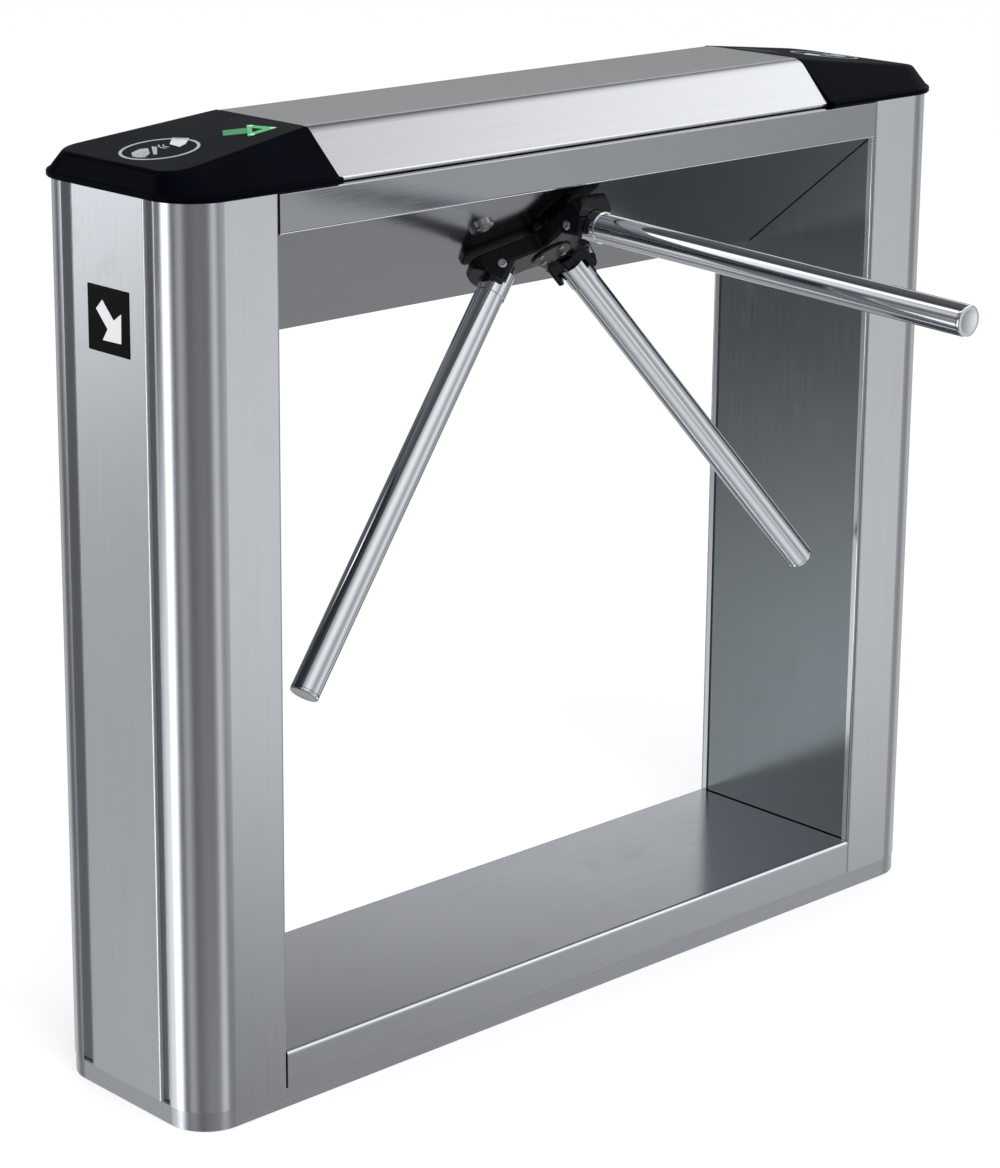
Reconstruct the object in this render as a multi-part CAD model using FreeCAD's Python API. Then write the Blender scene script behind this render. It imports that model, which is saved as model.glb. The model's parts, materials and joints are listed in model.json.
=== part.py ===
import FreeCAD, Part
import math
import os

V = FreeCAD.Vector
os.makedirs("parts", exist_ok=True)

# Tripod turnstile. Millimetres, X along the cabinet, -Y towards the passage, Z up from the floor.

# Cabinet
LENGTH = 1112.0
WIDTH = 244.0
PILLAR_TOP = 960.0
PILLAR_DEPTH = 116.0
COLUMN_RADIUS = 48.0
SHEET = 2.0
BEND = 4.0
PANEL_GAP = 0.5
PORTAL_FLANGE = 10.0
GROOVE_DEPTH = 6.0
END_PANEL_WIDTH = 120.0
CABLE_NOTCH_WIDTH = 50.0
CABLE_NOTCH_IN = 52.0
CABLE_NOTCH_DEPTH = 125.0

# Plinth and bottom beam
PLINTH_HEIGHT = 21.0
PLINTH_INSET = 1.0
PLINTH_WALL = 4.0
PLINTH_PLATE = 5.0
BASE_BEAM_HEIGHT = 41.0
ANCHOR_FROM_END = 56.0
ANCHOR_FROM_SIDE = 57.0
ANCHOR_RADIUS = 7.0
CABLE_ENTRY_RADIUS = 20.0
GLAND_FLANGE_RADIUS = 29.0
GLAND_FLANGE = 4.0
GLAND_FIT = 0.4
GLAND_BORE_RADIUS = 12.0
GLAND_HEIGHT = 26.0

# Top beam
FASCIA_HEIGHT = 42.0
FASCIA_LIP = 5.0
FASCIA_TOP_LIP = 14.0
FASCIA_BEND = 3.0
SLOPE_ANGLE = 39.0
SLOPE_LENGTH = 239.0
TROUGH_FRONT_FLANGE = 26.0
TROUGH_REAR_LIP = 12.0

# Lid and its hinges
LID_GAP = 0.6
LID_RISE = 50.0
LID_TOP_WIDTH = 145.0
LID_CREASE_RADIUS = 20.0
LID_EDGE_RADIUS = 3.0
LID_FLANGE = 14.0
HINGE_FROM_END = 112.0
HINGE_PIN_RADIUS = 2.5
HINGE_BARREL_RADIUS = 4.5
HINGE_OUT = 5.0
HINGE_KNUCKLE = 20.0
HINGE_LEAF = 34.0
HINGE_LEAF_SHEET = 2.0
HINGE_END_PLAY = 0.3

# Lid lock and latch hook
LOCK_X = -122.0
LOCK_Y = -45.0
LOCK_BARREL_RADIUS = 10.0
LOCK_FLANGE_RADIUS = 13.0
LOCK_FLANGE = 3.0
LOCK_ABOVE_PLATE = 7.0
LOCK_CORE_RADIUS = 6.0
LOCK_HOLE_CLEARANCE = 0.3
LOCK_CAM_LENGTH = 45.0
LOCK_CAM_HALF_WIDTH = 8.0
LOCK_CAM_SHEET = 3.0
LOCK_CAM_LIFT = 0.3
KEY_SLOT_LENGTH = 7.0
KEY_SLOT_WIDTH = 1.6
KEY_SLOT_DEPTH = 3.0
HOOK_SHEET = 3.0
HOOK_WIDTH = 20.0
HOOK_FROM_FRONT = 25.0
HOOK_LEDGE = 22.0
HOOK_CAM_GAP = 1.0

# Caps
CAP_LENGTH = 193.2
CAP_OVERHANG = 5.0
CAP_LIP = 7.0
CAP_LIP_ROUND = 2.0
CAP_SIDE_STEP = 7.0
CAP_END_STEP = 1.0
CAP_TOP_SETBACK = 15.0
CAP_TOP_RADIUS = 14.0
CAP_TILT = 7.0
CAP_WALL = 3.0
CAP_CREASE_RADIUS = 8.0
CAP_SEAM_GAP = 0.8
LENS_LENGTH = 56.0
LENS_WIDTH = 72.0
LENS_SHEET = 2.0
LENS_STEP = 4.0
LENS_FIT = 0.3
LENS_FROM_SEAM = 2.0
LENS_OFF = 18.0
READER_LENGTH = 70.0
READER_FROM_EDGE = 15.2
READER_WIDTH = 84.0
READER_DROP = 6.0
READER_POST_RADIUS = 4.0
BOARD_SHEET = 1.6
CHIP_HEIGHT = 3.0

# Pictogram windows
PICTOGRAM = 66.0
PICTOGRAM_DROP = 129.0
PICTOGRAM_FIT = 0.3
PICTOGRAM_PROUD = 0.6
PICTOGRAM_BOARD = 60.0
PICTOGRAM_PORT = 50.0

# Rotor: the axis is square to the slope
AXIS_DOWN_SLOPE = 110.0
APEX_DEPTH = 30.5
ARM_CONE = 48.5
ARM_COUNT = 3
ARM_PHASE = 1.25
ARM_RADIUS = 16.0
ARM_WALL = 2.0
ARM_TIP = 596.0
PLUG_HEAD = 4.0
PLUG_SPIGOT = 18.0
PLUG_FIT = 0.05
COLLAR_WALL = 1.2
COLLAR_LENGTH = 28.0
COLLAR_FIT = 0.05
HUB_GAP = 5.0
HUB_THICKNESS = 20.0
HUB_LOBE_HALF = 25.0
HUB_LOBE_REACH = 92.0
HUB_LOBE_ROUND = 13.0
HUB_WAIST_ROUND = 18.0
HUB_EDGE = 2.5
HUB_RIM = 8.0
HUB_RIM_ROUND = 2.5
HUB_FACET = 98.0
HUB_FORK_DEPTH = 15.0
HUB_FORK_CLEARANCE = 2.0
HUB_CHEEK_DROP = 11.0
HUB_CHEEK_LENGTH = 42.0
HUB_CHEEK_ROUND = 5.0
SPIGOT_ROOT = 11.0
SPIGOT_LENGTH = 40.0
HUB_COVER_RADIUS = 24.0
HUB_COVER_DEPTH = 4.0
HUB_COVER_DOME = 2.5
SPIGOT_FIT = 0.05

# Shaft, bearings and housing
SHAFT_RADIUS = 12.5
SHAFT_FIT = 0.05
SHAFT_END_WALL = 3.0
SEAL_HOLE_CLEARANCE = 4.5
SEAL_BODY = 11.0
SEAL_HEIGHT = 6.0
SEAL_LIP = 0.4
STANDOFF = 10.0
STANDOFF_RADIUS = 7.0
STANDOFF_EDGE = 14.0
PLATE_FRONT = 80.0
PLATE_EDGE = 4.0
PLATE = 8.0
PLATE_CORNER = 10.0
PLATE_LOCK_HOLE = 15.0
BEARING_RADIUS = 26.0
BEARING_WIDTH = 15.0
BEARING_RACE = 5.0
BEARING_SHIELD = 1.0
BEARING_SHIELD_GAP = 0.3
BEARING_FIT = 0.05
BEARING_SPREAD = 35.0
HOUSING_FLANGE_REACH = 15.0
HOUSING_FLANGE = 8.0
HOUSING_WALL = 7.0
HOUSING_FLOOR = 3.0
HOUSING_SHOULDER = 4.0

# Lock disc, gear train and encoder
DISC_RADIUS = 62.0
DISC = 8.0
DISC_LIFT = 5.0
NOTCH_COUNT = 6
NOTCH_WIDTH = 16.0
NOTCH_DEPTH = 11.0
BOSS_RADIUS = 20.0
GEAR_LIFT = 6.0
GEAR_WIDTH = 10.0
GEAR_MODULE = 2.0
GEAR_TEETH = 62
PINION_TEETH = 18
PINION_EXTRA = 2.0
GEAR_BACKLASH = 0.25
GEAR_DEDENDUM = 1.25
PRESSURE_ANGLE = 20.0
GEAR_WINDOW_RADIUS = 11.0
GEAR_WINDOW_PITCH = 38.0
ENCODER_LIFT = 6.0
ENCODER_RADIUS = 46.0
ENCODER_SHEET = 2.0
ENCODER_SLOTS = 24
ENCODER_SLOT_LENGTH = 8.0
ENCODER_SLOT_WIDTH = 4.0
ENCODER_RIM = 3.0
SENSOR_GAP = 0.8
SENSOR_JAW = 3.5
SENSOR_REACH = 8.0
SENSOR_WIDTH = 24.0
SENSOR_COLUMN = 8.0
SENSOR_STAND = 8.0
NUT_RADIUS = 20.0
NUT_HEIGHT = 11.0

# Motor
MOTOR_RADIUS = 28.0
MOTOR_FOOT_RADIUS = 30.0
MOTOR_FOOT = 5.0
MOTOR_BOSS_RADIUS = 10.0
MOTOR_BOSS = 4.0
MOTOR_CLEAR = 6.0
MOTOR_SHAFT_RADIUS = 5.0
MOTOR_SHAFT_DEPTH = 20.0
RUNNING_FIT = 0.05

# Pawls, pivots and solenoids
PAWL_OUT = 14.0
PAWL_ARM = 46.0
PAWL_WIDTH = 12.0
PAWL_SHEET = 7.0
PAWL_REST_GAP = 1.5
PAWL_TOOTH_WIDTH = 10.0
PAWL_TOOTH_LEAD = 3.6
PAWL_TOOTH_ROUND = 1.0
PAWL_END_ROUND = 2.0
PAWL_BOSS_RADIUS = 10.0
PAWL_LINK_ALONG = 64.0
PAWL_LINK_OUT = 14.0
PAWL_LINK_END = 12.0
PAWL_FOOT_GAP = 0.3
PIVOT_RADIUS = 7.0
PIVOT_PIN_RADIUS = 4.0
PIVOT_TOP = 3.0
LINK_PIN_RADIUS = 3.0
LINK_MARGIN = 4.0
LINK_SLOT_CLEARANCE = 0.5
LINK_SLOT_TRAVEL = 4.0
FORK_SHEET = 3.0
FORK_GAP = 0.5
FORK_WIDTH = 12.0
FORK_REAR = 12.0
FORK_NOSE = 6.0
PLUNGER_RADIUS = 5.0
PLUNGER_LENGTH = 52.0
SOLENOID_LENGTH = 50.0
SOLENOID_SIDE = 30.0
SOLENOID_STAND_OFF = 6.0
BRACKET_SHEET = 3.0

# Electronics in the trough
CONTROL_FROM_PILLAR = 130.0
CONTROL_LENGTH = 170.0
CONTROL_WIDTH = 110.0
CONTROL_STANDOFF = 8.0
CONTROL_POST_RADIUS = 4.0
CONTROL_POST_EDGE = 8.0
TERMINAL_HEIGHT = 12.0
TERMINAL_DEPTH = 14.0
RELAY_SIDE = 18.0
RELAY_HEIGHT = 15.0
RELAY_COUNT = 4
RELAY_PITCH = 27.0
SUPPLY_FROM_PILLAR = 135.0
SUPPLY_LENGTH = 130.0
SUPPLY_WIDTH = 96.0
SUPPLY_HEIGHT = 40.0
SUPPLY_EDGE = 3.0

half_length = LENGTH / 2
half_width = WIDTH / 2
portal_x = half_length - PILLAR_DEPTH
groove_y = half_width - COLUMN_RADIUS
lid_bottom = PILLAR_TOP + LID_GAP
lid_top = PILLAR_TOP + LID_RISE
seam_x = half_length - CAP_LENGTH
lid_half = seam_x - CAP_SEAM_GAP
base_top = PLINTH_HEIGHT + BASE_BEAM_HEIGHT
fascia_bottom = PILLAR_TOP - FASCIA_HEIGHT
pictogram_z = PILLAR_TOP - PICTOGRAM_DROP
slope_y = -half_width + FASCIA_LIP
slope_z = fascia_bottom + SHEET
slope_cos = math.cos(math.radians(SLOPE_ANGLE))
slope_sin = math.sin(math.radians(SLOPE_ANGLE))
axis_y = slope_y + AXIS_DOWN_SLOPE * slope_cos
axis_z = slope_z - AXIS_DOWN_SLOPE * slope_sin

# Heights along the rotor's axis, counted from the outer face of the slope
plate_low = SHEET + STANDOFF
plate_high = plate_low + PLATE
lower_bearing = plate_high + HOUSING_FLOOR
upper_bearing = lower_bearing + BEARING_SPREAD
housing_top = upper_bearing + BEARING_WIDTH
disc_low = housing_top + DISC_LIFT
disc_high = disc_low + DISC
gear_low = disc_high + GEAR_LIFT
gear_high = gear_low + GEAR_WIDTH
encoder_low = gear_high + ENCODER_LIFT
encoder_high = encoder_low + ENCODER_SHEET
shaft_top = encoder_high + NUT_HEIGHT
lock_barrel_top = plate_high + LOCK_ABOVE_PLATE

# Places on the mechanism plate, counted from the rotor's axis
motor_y = GEAR_MODULE * (GEAR_TEETH + PINION_TEETH) / 2
pawl_x = -(DISC_RADIUS + PAWL_OUT)
link_x = pawl_x - PAWL_LINK_OUT
link_out = link_x - LINK_PIN_RADIUS - LINK_MARGIN
fork_back = link_out - FORK_REAR
coil_front = fork_back - SOLENOID_STAND_OFF
coil_back = coil_front - SOLENOID_LENGTH
plate_x = -coil_back + PLATE_EDGE
plate_rear = motor_y + MOTOR_FOOT_RADIUS + PLATE_EDGE

MIDDLE = V(0, 0, 0)
UP = V(0, 0, 1)
tilted = FreeCAD.Placement(V(0, axis_y, axis_z), FreeCAD.Rotation(V(1, 0, 0), -SLOPE_ANGLE))


def outline(corners, place):
    """Closed wire through corners given as (a, b, radius)."""
    count = len(corners)
    spans = []
    for i in range(count):
        a0, b0 = corners[i - 1][:2]
        a, b, radius = corners[i]
        a1, b1 = corners[(i + 1) % count][:2]
        before = math.hypot(a0 - a, b0 - b)
        after = math.hypot(a1 - a, b1 - b)
        ua, ub = (a0 - a) / before, (b0 - b) / before
        wa, wb = (a1 - a) / after, (b1 - b) / after
        half = math.acos(max(-1.0, min(1.0, ua * wa + ub * wb))) / 2
        if radius <= 0:
            spans.append([(a, b)])
            continue
        reach = radius / math.tan(half)
        bisector = math.hypot(ua + wa, ub + wb)
        out = radius / math.sin(half) - radius
        middle = (a + (ua + wa) / bisector * out, b + (ub + wb) / bisector * out)
        spans.append([(a + ua * reach, b + ub * reach), middle, (a + wa * reach, b + wb * reach)])
    edges = []
    for i in range(count):
        span = spans[i]
        following = spans[(i + 1) % count]
        if len(span) == 3:
            edges.append(Part.Arc(place(*span[0]), place(*span[1]), place(*span[2])).toShape())
        if math.dist(span[-1], following[0]) > 1e-6:
            edges.append(Part.makeLine(place(*span[-1]), place(*following[0])))
    return Part.Wire(edges)


def prism(corners, place, sweep):
    return Part.Face(outline(corners, place)).extrude(sweep)


def folded(path, thickness, bends):
    """Corners of a folded sheet: path is its outer or inner skin, the sheet lies to its left."""
    count = len(path)
    steps = []
    for i in range(count - 1):
        da = path[i + 1][0] - path[i][0]
        db = path[i + 1][1] - path[i][1]
        run = math.hypot(da, db)
        steps.append((da / run, db / run))
    near = []
    far = []
    for i in range(count):
        a, b = path[i]
        before = steps[max(i - 1, 0)]
        after = steps[min(i, count - 2)]
        n0 = (-before[1], before[0])
        n1 = (-after[1], after[0])
        spread = 1 + n0[0] * n1[0] + n0[1] * n1[1]
        other = (a + (n0[0] + n1[0]) / spread * thickness, b + (n0[1] + n1[1]) / spread * thickness)
        turn = before[0] * after[1] - before[1] * after[0]
        outer = inner = 0.0
        if 0 < i < count - 1:
            outer = bends[i - 1]
            inner = max(bends[i - 1] - thickness, 0.0)
        near.append((a, b, outer if turn > 0 else inner))
        far.append((other[0], other[1], inner if turn > 0 else outer))
    return near + far[::-1]


def along_x(x):
    return lambda y, z: V(x, y, z)


def flat(z):
    return lambda x, y: V(x, y, z)


def box(x0, x1, y0, y1, z0, z1):
    return Part.makeBox(x1 - x0, y1 - y0, z1 - z0, V(x0, y0, z0))


def rod(radius, z0, z1, x=0.0, y=0.0):
    return Part.makeCylinder(radius, z1 - z0, V(x, y, z0))


def turned(profile, x=0.0, y=0.0):
    """Solid of revolution round Z from (radius, z) points."""
    wire = Part.makePolygon([V(r, 0, z) for r, z in profile + profile[:1]])
    solid = Part.Face(wire).revolve(MIDDLE, UP, 360)
    solid.translate(V(x, y, 0))
    return solid


def joined(shapes):
    whole = shapes[0]
    for shape in shapes[1:]:
        whole = whole.fuse(shape)
    return whole.removeSplitter()


def seated(shape):
    """From the rotor's own frame (Z along its axis, into the beam) to the cabinet's."""
    copy = shape.copy()
    copy.Placement = tilted.multiply(copy.Placement)
    return copy


def half_turn(shape):
    copy = shape.copy()
    copy.rotate(MIDDLE, UP, 180)
    return copy


def mirrored(shape):
    return shape.mirror(MIDDLE, V(1, 0, 0))


def save(name, shape):
    shape.exportStep("parts/" + name + ".step")


# Plinth: a shallow tray with the anchor holes and the cable entry in its floor
def plan(grow):
    x = half_length + grow
    y = half_width + grow
    r = COLUMN_RADIUS + grow
    return [(-x, -y, r), (x, -y, r), (x, y, r), (-x, y, r)]


plinth = prism(plan(-PLINTH_INSET), flat(0), UP * PLINTH_HEIGHT)
plinth = plinth.cut(prism(plan(-PLINTH_INSET - PLINTH_WALL), flat(PLINTH_PLATE), UP * PLINTH_HEIGHT))
for sx in (-1, 1):
    for sy in (-1, 1):
        hole = rod(ANCHOR_RADIUS, 0, PLINTH_PLATE, sx * (half_length - ANCHOR_FROM_END),
                   sy * (half_width - ANCHOR_FROM_SIDE))
        plinth = plinth.cut(hole)
entry_x = -portal_x - PILLAR_DEPTH / 2
plinth = plinth.cut(rod(CABLE_ENTRY_RADIUS, 0, PLINTH_PLATE, entry_x, 0))
save("base_plinth", plinth)

gland_top = PLINTH_PLATE + GLAND_HEIGHT
gland_radius = CABLE_ENTRY_RADIUS - GLAND_FIT
gland = turned([
    (GLAND_BORE_RADIUS, 0), (gland_radius, 0), (gland_radius, PLINTH_PLATE),
    (GLAND_FLANGE_RADIUS, PLINTH_PLATE), (GLAND_FLANGE_RADIUS, PLINTH_PLATE + GLAND_FLANGE),
    (gland_radius, PLINTH_PLATE + GLAND_FLANGE), (gland_radius, gland_top - GLAND_FLANGE),
    (gland_radius - GLAND_FLANGE, gland_top), (GLAND_BORE_RADIUS, gland_top)], entry_x, 0)
save("cable_gland", gland)

# Bottom beam: a folded channel standing on the plinth's rim
beam_end = portal_x - PANEL_GAP
cover_path = [(half_width, PLINTH_HEIGHT), (half_width, base_top),
              (-half_width, base_top), (-half_width, PLINTH_HEIGHT)]
cover = prism(folded(cover_path, SHEET, [BEND, BEND]), along_x(-beam_end), V(2 * beam_end, 0, 0))
save("base_beam_cover", cover)

# Pillars: one folded shell each, columns at the outer corners, a groove beside the end panel
pillar_height = UP * (PILLAR_TOP - PLINTH_HEIGHT)


def pillar_outline(inset):
    x0 = portal_x + inset
    x1 = half_length - inset
    y = half_width - inset
    r = COLUMN_RADIUS - inset
    b = BEND - inset
    return [(x0, -y, b), (x1, -y, r), (x1, y, r), (x0, y, b)]


wall_x = half_length - GROOVE_DEPTH - SHEET
shell = prism(pillar_outline(0), flat(PLINTH_HEIGHT), pillar_height)
shell = shell.cut(box(half_length - GROOVE_DEPTH, half_length + SHEET, -groove_y, groove_y,
                      PLINTH_HEIGHT, PILLAR_TOP))
hollow = prism(pillar_outline(SHEET), flat(PLINTH_HEIGHT), pillar_height)
hollow = hollow.cut(box(wall_x, half_length, -groove_y - SHEET, groove_y + SHEET, PLINTH_HEIGHT, PILLAR_TOP))
shell = shell.cut(hollow)
portal_y = half_width - PORTAL_FLANGE
shell = shell.cut(box(portal_x - SHEET, portal_x + 2 * SHEET, -portal_y, portal_y, PLINTH_HEIGHT, PILLAR_TOP))
port = PICTOGRAM_PORT / 2
shell = shell.cut(box(wall_x - SHEET, half_length, -port, port, pictogram_z - port, pictogram_z + port))
save("far_pillar_shell", shell)
save("near_pillar_shell", half_turn(shell))

panel_y = half_width - BEND - PANEL_GAP
inner_panel = box(portal_x + SHEET, portal_x + 2 * SHEET, -panel_y, panel_y, PLINTH_HEIGHT, PILLAR_TOP)
notch_y = half_width - CABLE_NOTCH_IN
cable_notch = box(portal_x, portal_x + 3 * SHEET, -CABLE_NOTCH_WIDTH / 2, CABLE_NOTCH_WIDTH / 2,
                  PILLAR_TOP - CABLE_NOTCH_DEPTH, PILLAR_TOP)
far_notch = cable_notch.translated(V(0, notch_y, 0))
near_notch = cable_notch.translated(V(0, -notch_y, 0))
save("far_inner_panel", inner_panel.cut(far_notch))
save("near_inner_panel", half_turn(inner_panel.cut(near_notch)))

end_y = END_PANEL_WIDTH / 2
end_path = [(half_length - GROOVE_DEPTH, -end_y), (half_length, -end_y),
            (half_length, end_y), (half_length - GROOVE_DEPTH, end_y)]
end_panel = prism(folded(end_path, SHEET, [BEND, BEND]), flat(PLINTH_HEIGHT), pillar_height)
window_half = PICTOGRAM / 2
opening_half = window_half + PICTOGRAM_FIT
end_panel = end_panel.cut(box(wall_x, half_length + SHEET, -opening_half, opening_half,
                              pictogram_z - opening_half, pictogram_z + opening_half))
save("far_end_panel", end_panel)
save("near_end_panel", half_turn(end_panel))

window = box(half_length - GROOVE_DEPTH, half_length + PICTOGRAM_PROUD, -window_half, window_half,
             pictogram_z - window_half, pictogram_z + window_half)
save("far_pictogram_window", window)
save("near_pictogram_window", half_turn(window))

board_half = PICTOGRAM_BOARD / 2
lamp = PICTOGRAM_PORT / 2 - PICTOGRAM_FIT - CHIP_HEIGHT
board = box(wall_x - BOARD_SHEET, wall_x, -board_half, board_half,
            pictogram_z - board_half, pictogram_z + board_half)
lamps = box(wall_x, wall_x + SHEET, -lamp, lamp, pictogram_z - lamp, pictogram_z + lamp)
board = joined([board, lamps])
save("far_pictogram_board", board)
save("near_pictogram_board", half_turn(board))

# Top beam: a folded trough with the sloping underside, closed in front by the fascia
foot_y = slope_y + SLOPE_LENGTH * slope_cos
foot_z = slope_z - SLOPE_LENGTH * slope_sin
flange_y = -half_width + SHEET
flange_z = slope_z + (slope_y - flange_y) * slope_sin / slope_cos
trough_path = [(flange_y, flange_z + TROUGH_FRONT_FLANGE), (flange_y, flange_z), (foot_y, foot_z),
               (half_width, foot_z), (half_width, PILLAR_TOP),
               (half_width - TROUGH_REAR_LIP, PILLAR_TOP)]
trough = prism(folded(trough_path, SHEET, [BEND] * 4), along_x(-beam_end), V(2 * beam_end, 0, 0))
seal_hole = SHAFT_RADIUS + SEAL_HOLE_CLEARANCE
trough = trough.cut(seated(rod(seal_hole, -SHEET, 2 * SHEET)))
lock_hole = LOCK_BARREL_RADIUS + LOCK_HOLE_CLEARANCE
trough = trough.cut(seated(rod(lock_hole, -SHEET, 2 * SHEET, LOCK_X, LOCK_Y)))
save("beam_trough", trough)

fascia_path = [(-half_width + FASCIA_TOP_LIP, PILLAR_TOP), (-half_width, PILLAR_TOP),
               (-half_width, fascia_bottom), (-half_width + FASCIA_LIP, fascia_bottom)]
fascia = prism(folded(fascia_path, SHEET, [FASCIA_BEND, FASCIA_BEND]), along_x(-beam_end),
               V(2 * beam_end, 0, 0))
save("beam_fascia", fascia)

# Lid, its hinges along the rear edge and the latch hook under its front slope
crease_y = LID_TOP_WIDTH / 2
lid_path = [(half_width - LID_FLANGE, lid_bottom), (half_width, lid_bottom), (crease_y, lid_top),
            (-crease_y, lid_top), (-half_width, lid_bottom), (-half_width + LID_FLANGE, lid_bottom)]
lid_bends = [LID_EDGE_RADIUS, LID_CREASE_RADIUS, LID_CREASE_RADIUS, LID_EDGE_RADIUS]
lid = prism(folded(lid_path, SHEET, lid_bends), along_x(-lid_half), V(2 * lid_half, 0, 0))
save("lid", lid)

hinge_y = half_width + HINGE_OUT
hinge_z = PILLAR_TOP + LID_GAP / 2
lid_slope = math.hypot(half_width - crease_y, lid_top - lid_bottom)
lid_run = -(half_width - crease_y) / lid_slope
lid_climb = (lid_top - lid_bottom) / lid_slope


def barrel(x0, x1, radius):
    return Part.makeCylinder(radius, x1 - x0, V(x0, hinge_y, hinge_z), V(1, 0, 0))


def on_lid_slope(along, out):
    return (half_width + along * lid_run + out * lid_climb, lid_bottom + along * lid_climb - out * lid_run)


fixed_leaves = []
moving_leaves = []
pins = []
for side in (-1, 1):
    x = side * (lid_half - HINGE_FROM_END)
    inner_end = HINGE_KNUCKLE / 2
    outer_end = HINGE_KNUCKLE * 3 / 2
    leaf = box(x - outer_end, x + outer_end, half_width, half_width + HINGE_LEAF_SHEET,
               hinge_z - HINGE_LEAF, hinge_z - HINGE_BARREL_RADIUS)
    web = box(x - outer_end, x + outer_end, half_width, half_width + HINGE_LEAF_SHEET,
              hinge_z - HINGE_BARREL_RADIUS, hinge_z - LID_GAP)
    gap = inner_end + HINGE_END_PLAY
    web = web.cut(box(x - gap, x + gap, half_width, hinge_y, hinge_z - HINGE_LEAF, hinge_z))
    knuckles = joined([leaf, web, barrel(x - outer_end, x - gap, HINGE_BARREL_RADIUS),
                       barrel(x + gap, x + outer_end, HINGE_BARREL_RADIUS)])
    fixed_leaves.append(knuckles.cut(barrel(x - outer_end, x + outer_end, HINGE_PIN_RADIUS + RUNNING_FIT)))
    strap_corners = [on_lid_slope(0, 0) + (0,), on_lid_slope(0, HINGE_LEAF_SHEET) + (0,),
                     on_lid_slope(HINGE_LEAF, HINGE_LEAF_SHEET) + (0,), on_lid_slope(HINGE_LEAF, 0) + (0,)]
    strap = prism(strap_corners, along_x(x - inner_end), V(HINGE_KNUCKLE, 0, 0))
    moving = joined([strap, barrel(x - inner_end, x + inner_end, HINGE_BARREL_RADIUS)])
    moving_leaves.append(moving.cut(barrel(x - outer_end, x + outer_end, HINGE_PIN_RADIUS + RUNNING_FIT)))
    pins.append(barrel(x - outer_end, x + outer_end, HINGE_PIN_RADIUS))
save("lid_hinge_leaves", Part.makeCompound(fixed_leaves))
save("lid_hinge_straps", Part.makeCompound(moving_leaves))
save("lid_hinge_pins", Part.makeCompound(pins))

cam_bottom = lock_barrel_top + LOCK_CAM_LIFT
ledge_top = cam_bottom - HOOK_CAM_GAP
ledge_bottom = ledge_top - HOOK_SHEET


def rotor_point(y, z):
    return (axis_y + y * slope_cos + z * slope_sin, axis_z - y * slope_sin + z * slope_cos)


def on_ledge(y, z):
    """Point of the rotor frame's height z that lies at cabinet depth y."""
    along = (y - axis_y - z * slope_sin) / slope_cos
    return rotor_point(along, z)


def under_lid(y):
    """Height of the lid's inner face on its front slope."""
    return lid_bottom + (half_width + y) * lid_climb / -lid_run - SHEET / -lid_run


hook_outer = -half_width + HOOK_FROM_FRONT
hook_inner = hook_outer + HOOK_SHEET
ledge_root = on_ledge(hook_inner, ledge_top)
ledge_tip = (ledge_root[0] + HOOK_LEDGE * slope_cos, ledge_root[1] - HOOK_LEDGE * slope_sin)
tip_under = (ledge_tip[0] - HOOK_SHEET * slope_sin, ledge_tip[1] - HOOK_SHEET * slope_cos)
hook_corners = [(hook_outer, under_lid(hook_outer), 0), on_ledge(hook_outer, ledge_bottom) + (0,),
                tip_under + (0,), ledge_tip + (0,), ledge_root + (0,), (hook_inner, under_lid(hook_inner), 0)]
hook = prism(hook_corners, along_x(LOCK_X - HOOK_WIDTH / 2), V(HOOK_WIDTH, 0, 0))
save("lid_latch_hook", hook)

lock_bore = LOCK_CORE_RADIUS + RUNNING_FIT
lock_barrel = turned([(lock_bore, -LOCK_FLANGE), (LOCK_FLANGE_RADIUS, -LOCK_FLANGE), (LOCK_FLANGE_RADIUS, 0),
                      (LOCK_BARREL_RADIUS, 0), (LOCK_BARREL_RADIUS, lock_barrel_top),
                      (lock_bore, lock_barrel_top)], LOCK_X, LOCK_Y)
save("lid_lock_barrel", seated(lock_barrel))

cam_top = cam_bottom + LOCK_CAM_SHEET
core = rod(LOCK_CORE_RADIUS, -LOCK_FLANGE, cam_top, LOCK_X, LOCK_Y)
cam_tip = LOCK_X - LOCK_CAM_LENGTH + LOCK_CAM_HALF_WIDTH
cam = joined([core, rod(LOCK_CAM_HALF_WIDTH, cam_bottom, cam_top, LOCK_X, LOCK_Y),
              rod(LOCK_CAM_HALF_WIDTH, cam_bottom, cam_top, cam_tip, LOCK_Y),
              box(cam_tip, LOCK_X, LOCK_Y - LOCK_CAM_HALF_WIDTH, LOCK_Y + LOCK_CAM_HALF_WIDTH,
                  cam_bottom, cam_top)])
cam = cam.cut(box(LOCK_X - KEY_SLOT_WIDTH / 2, LOCK_X + KEY_SLOT_WIDTH / 2, LOCK_Y - KEY_SLOT_LENGTH / 2,
                  LOCK_Y + KEY_SLOT_LENGTH / 2, -LOCK_FLANGE, -LOCK_FLANGE + KEY_SLOT_DEPTH))
save("lid_lock_cam", seated(cam))


# Caps: lofted hoods with a tilted top, a rolled lip and a window for the lit arrow
def cap_plan(x0, x1, y, radius, z):
    return outline([(x0, -y, 0), (x1, -y, radius), (x1, y, radius), (x0, y, 0)], flat(z))


def under_tilt(solid, depth):
    """Cut away what is above the tilted top, depth below it."""
    reach = LENGTH
    lid_box = Part.makeBox(reach, reach, reach, V(0, -half_length, -depth))
    lid_box.translate(V(-half_width, 0, 0))
    lid_box.rotate(MIDDLE, V(0, 1, 0), CAP_TILT)
    lid_box.translate(V(seam_x, 0, lid_top))
    return solid.cut(lid_box)


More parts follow.
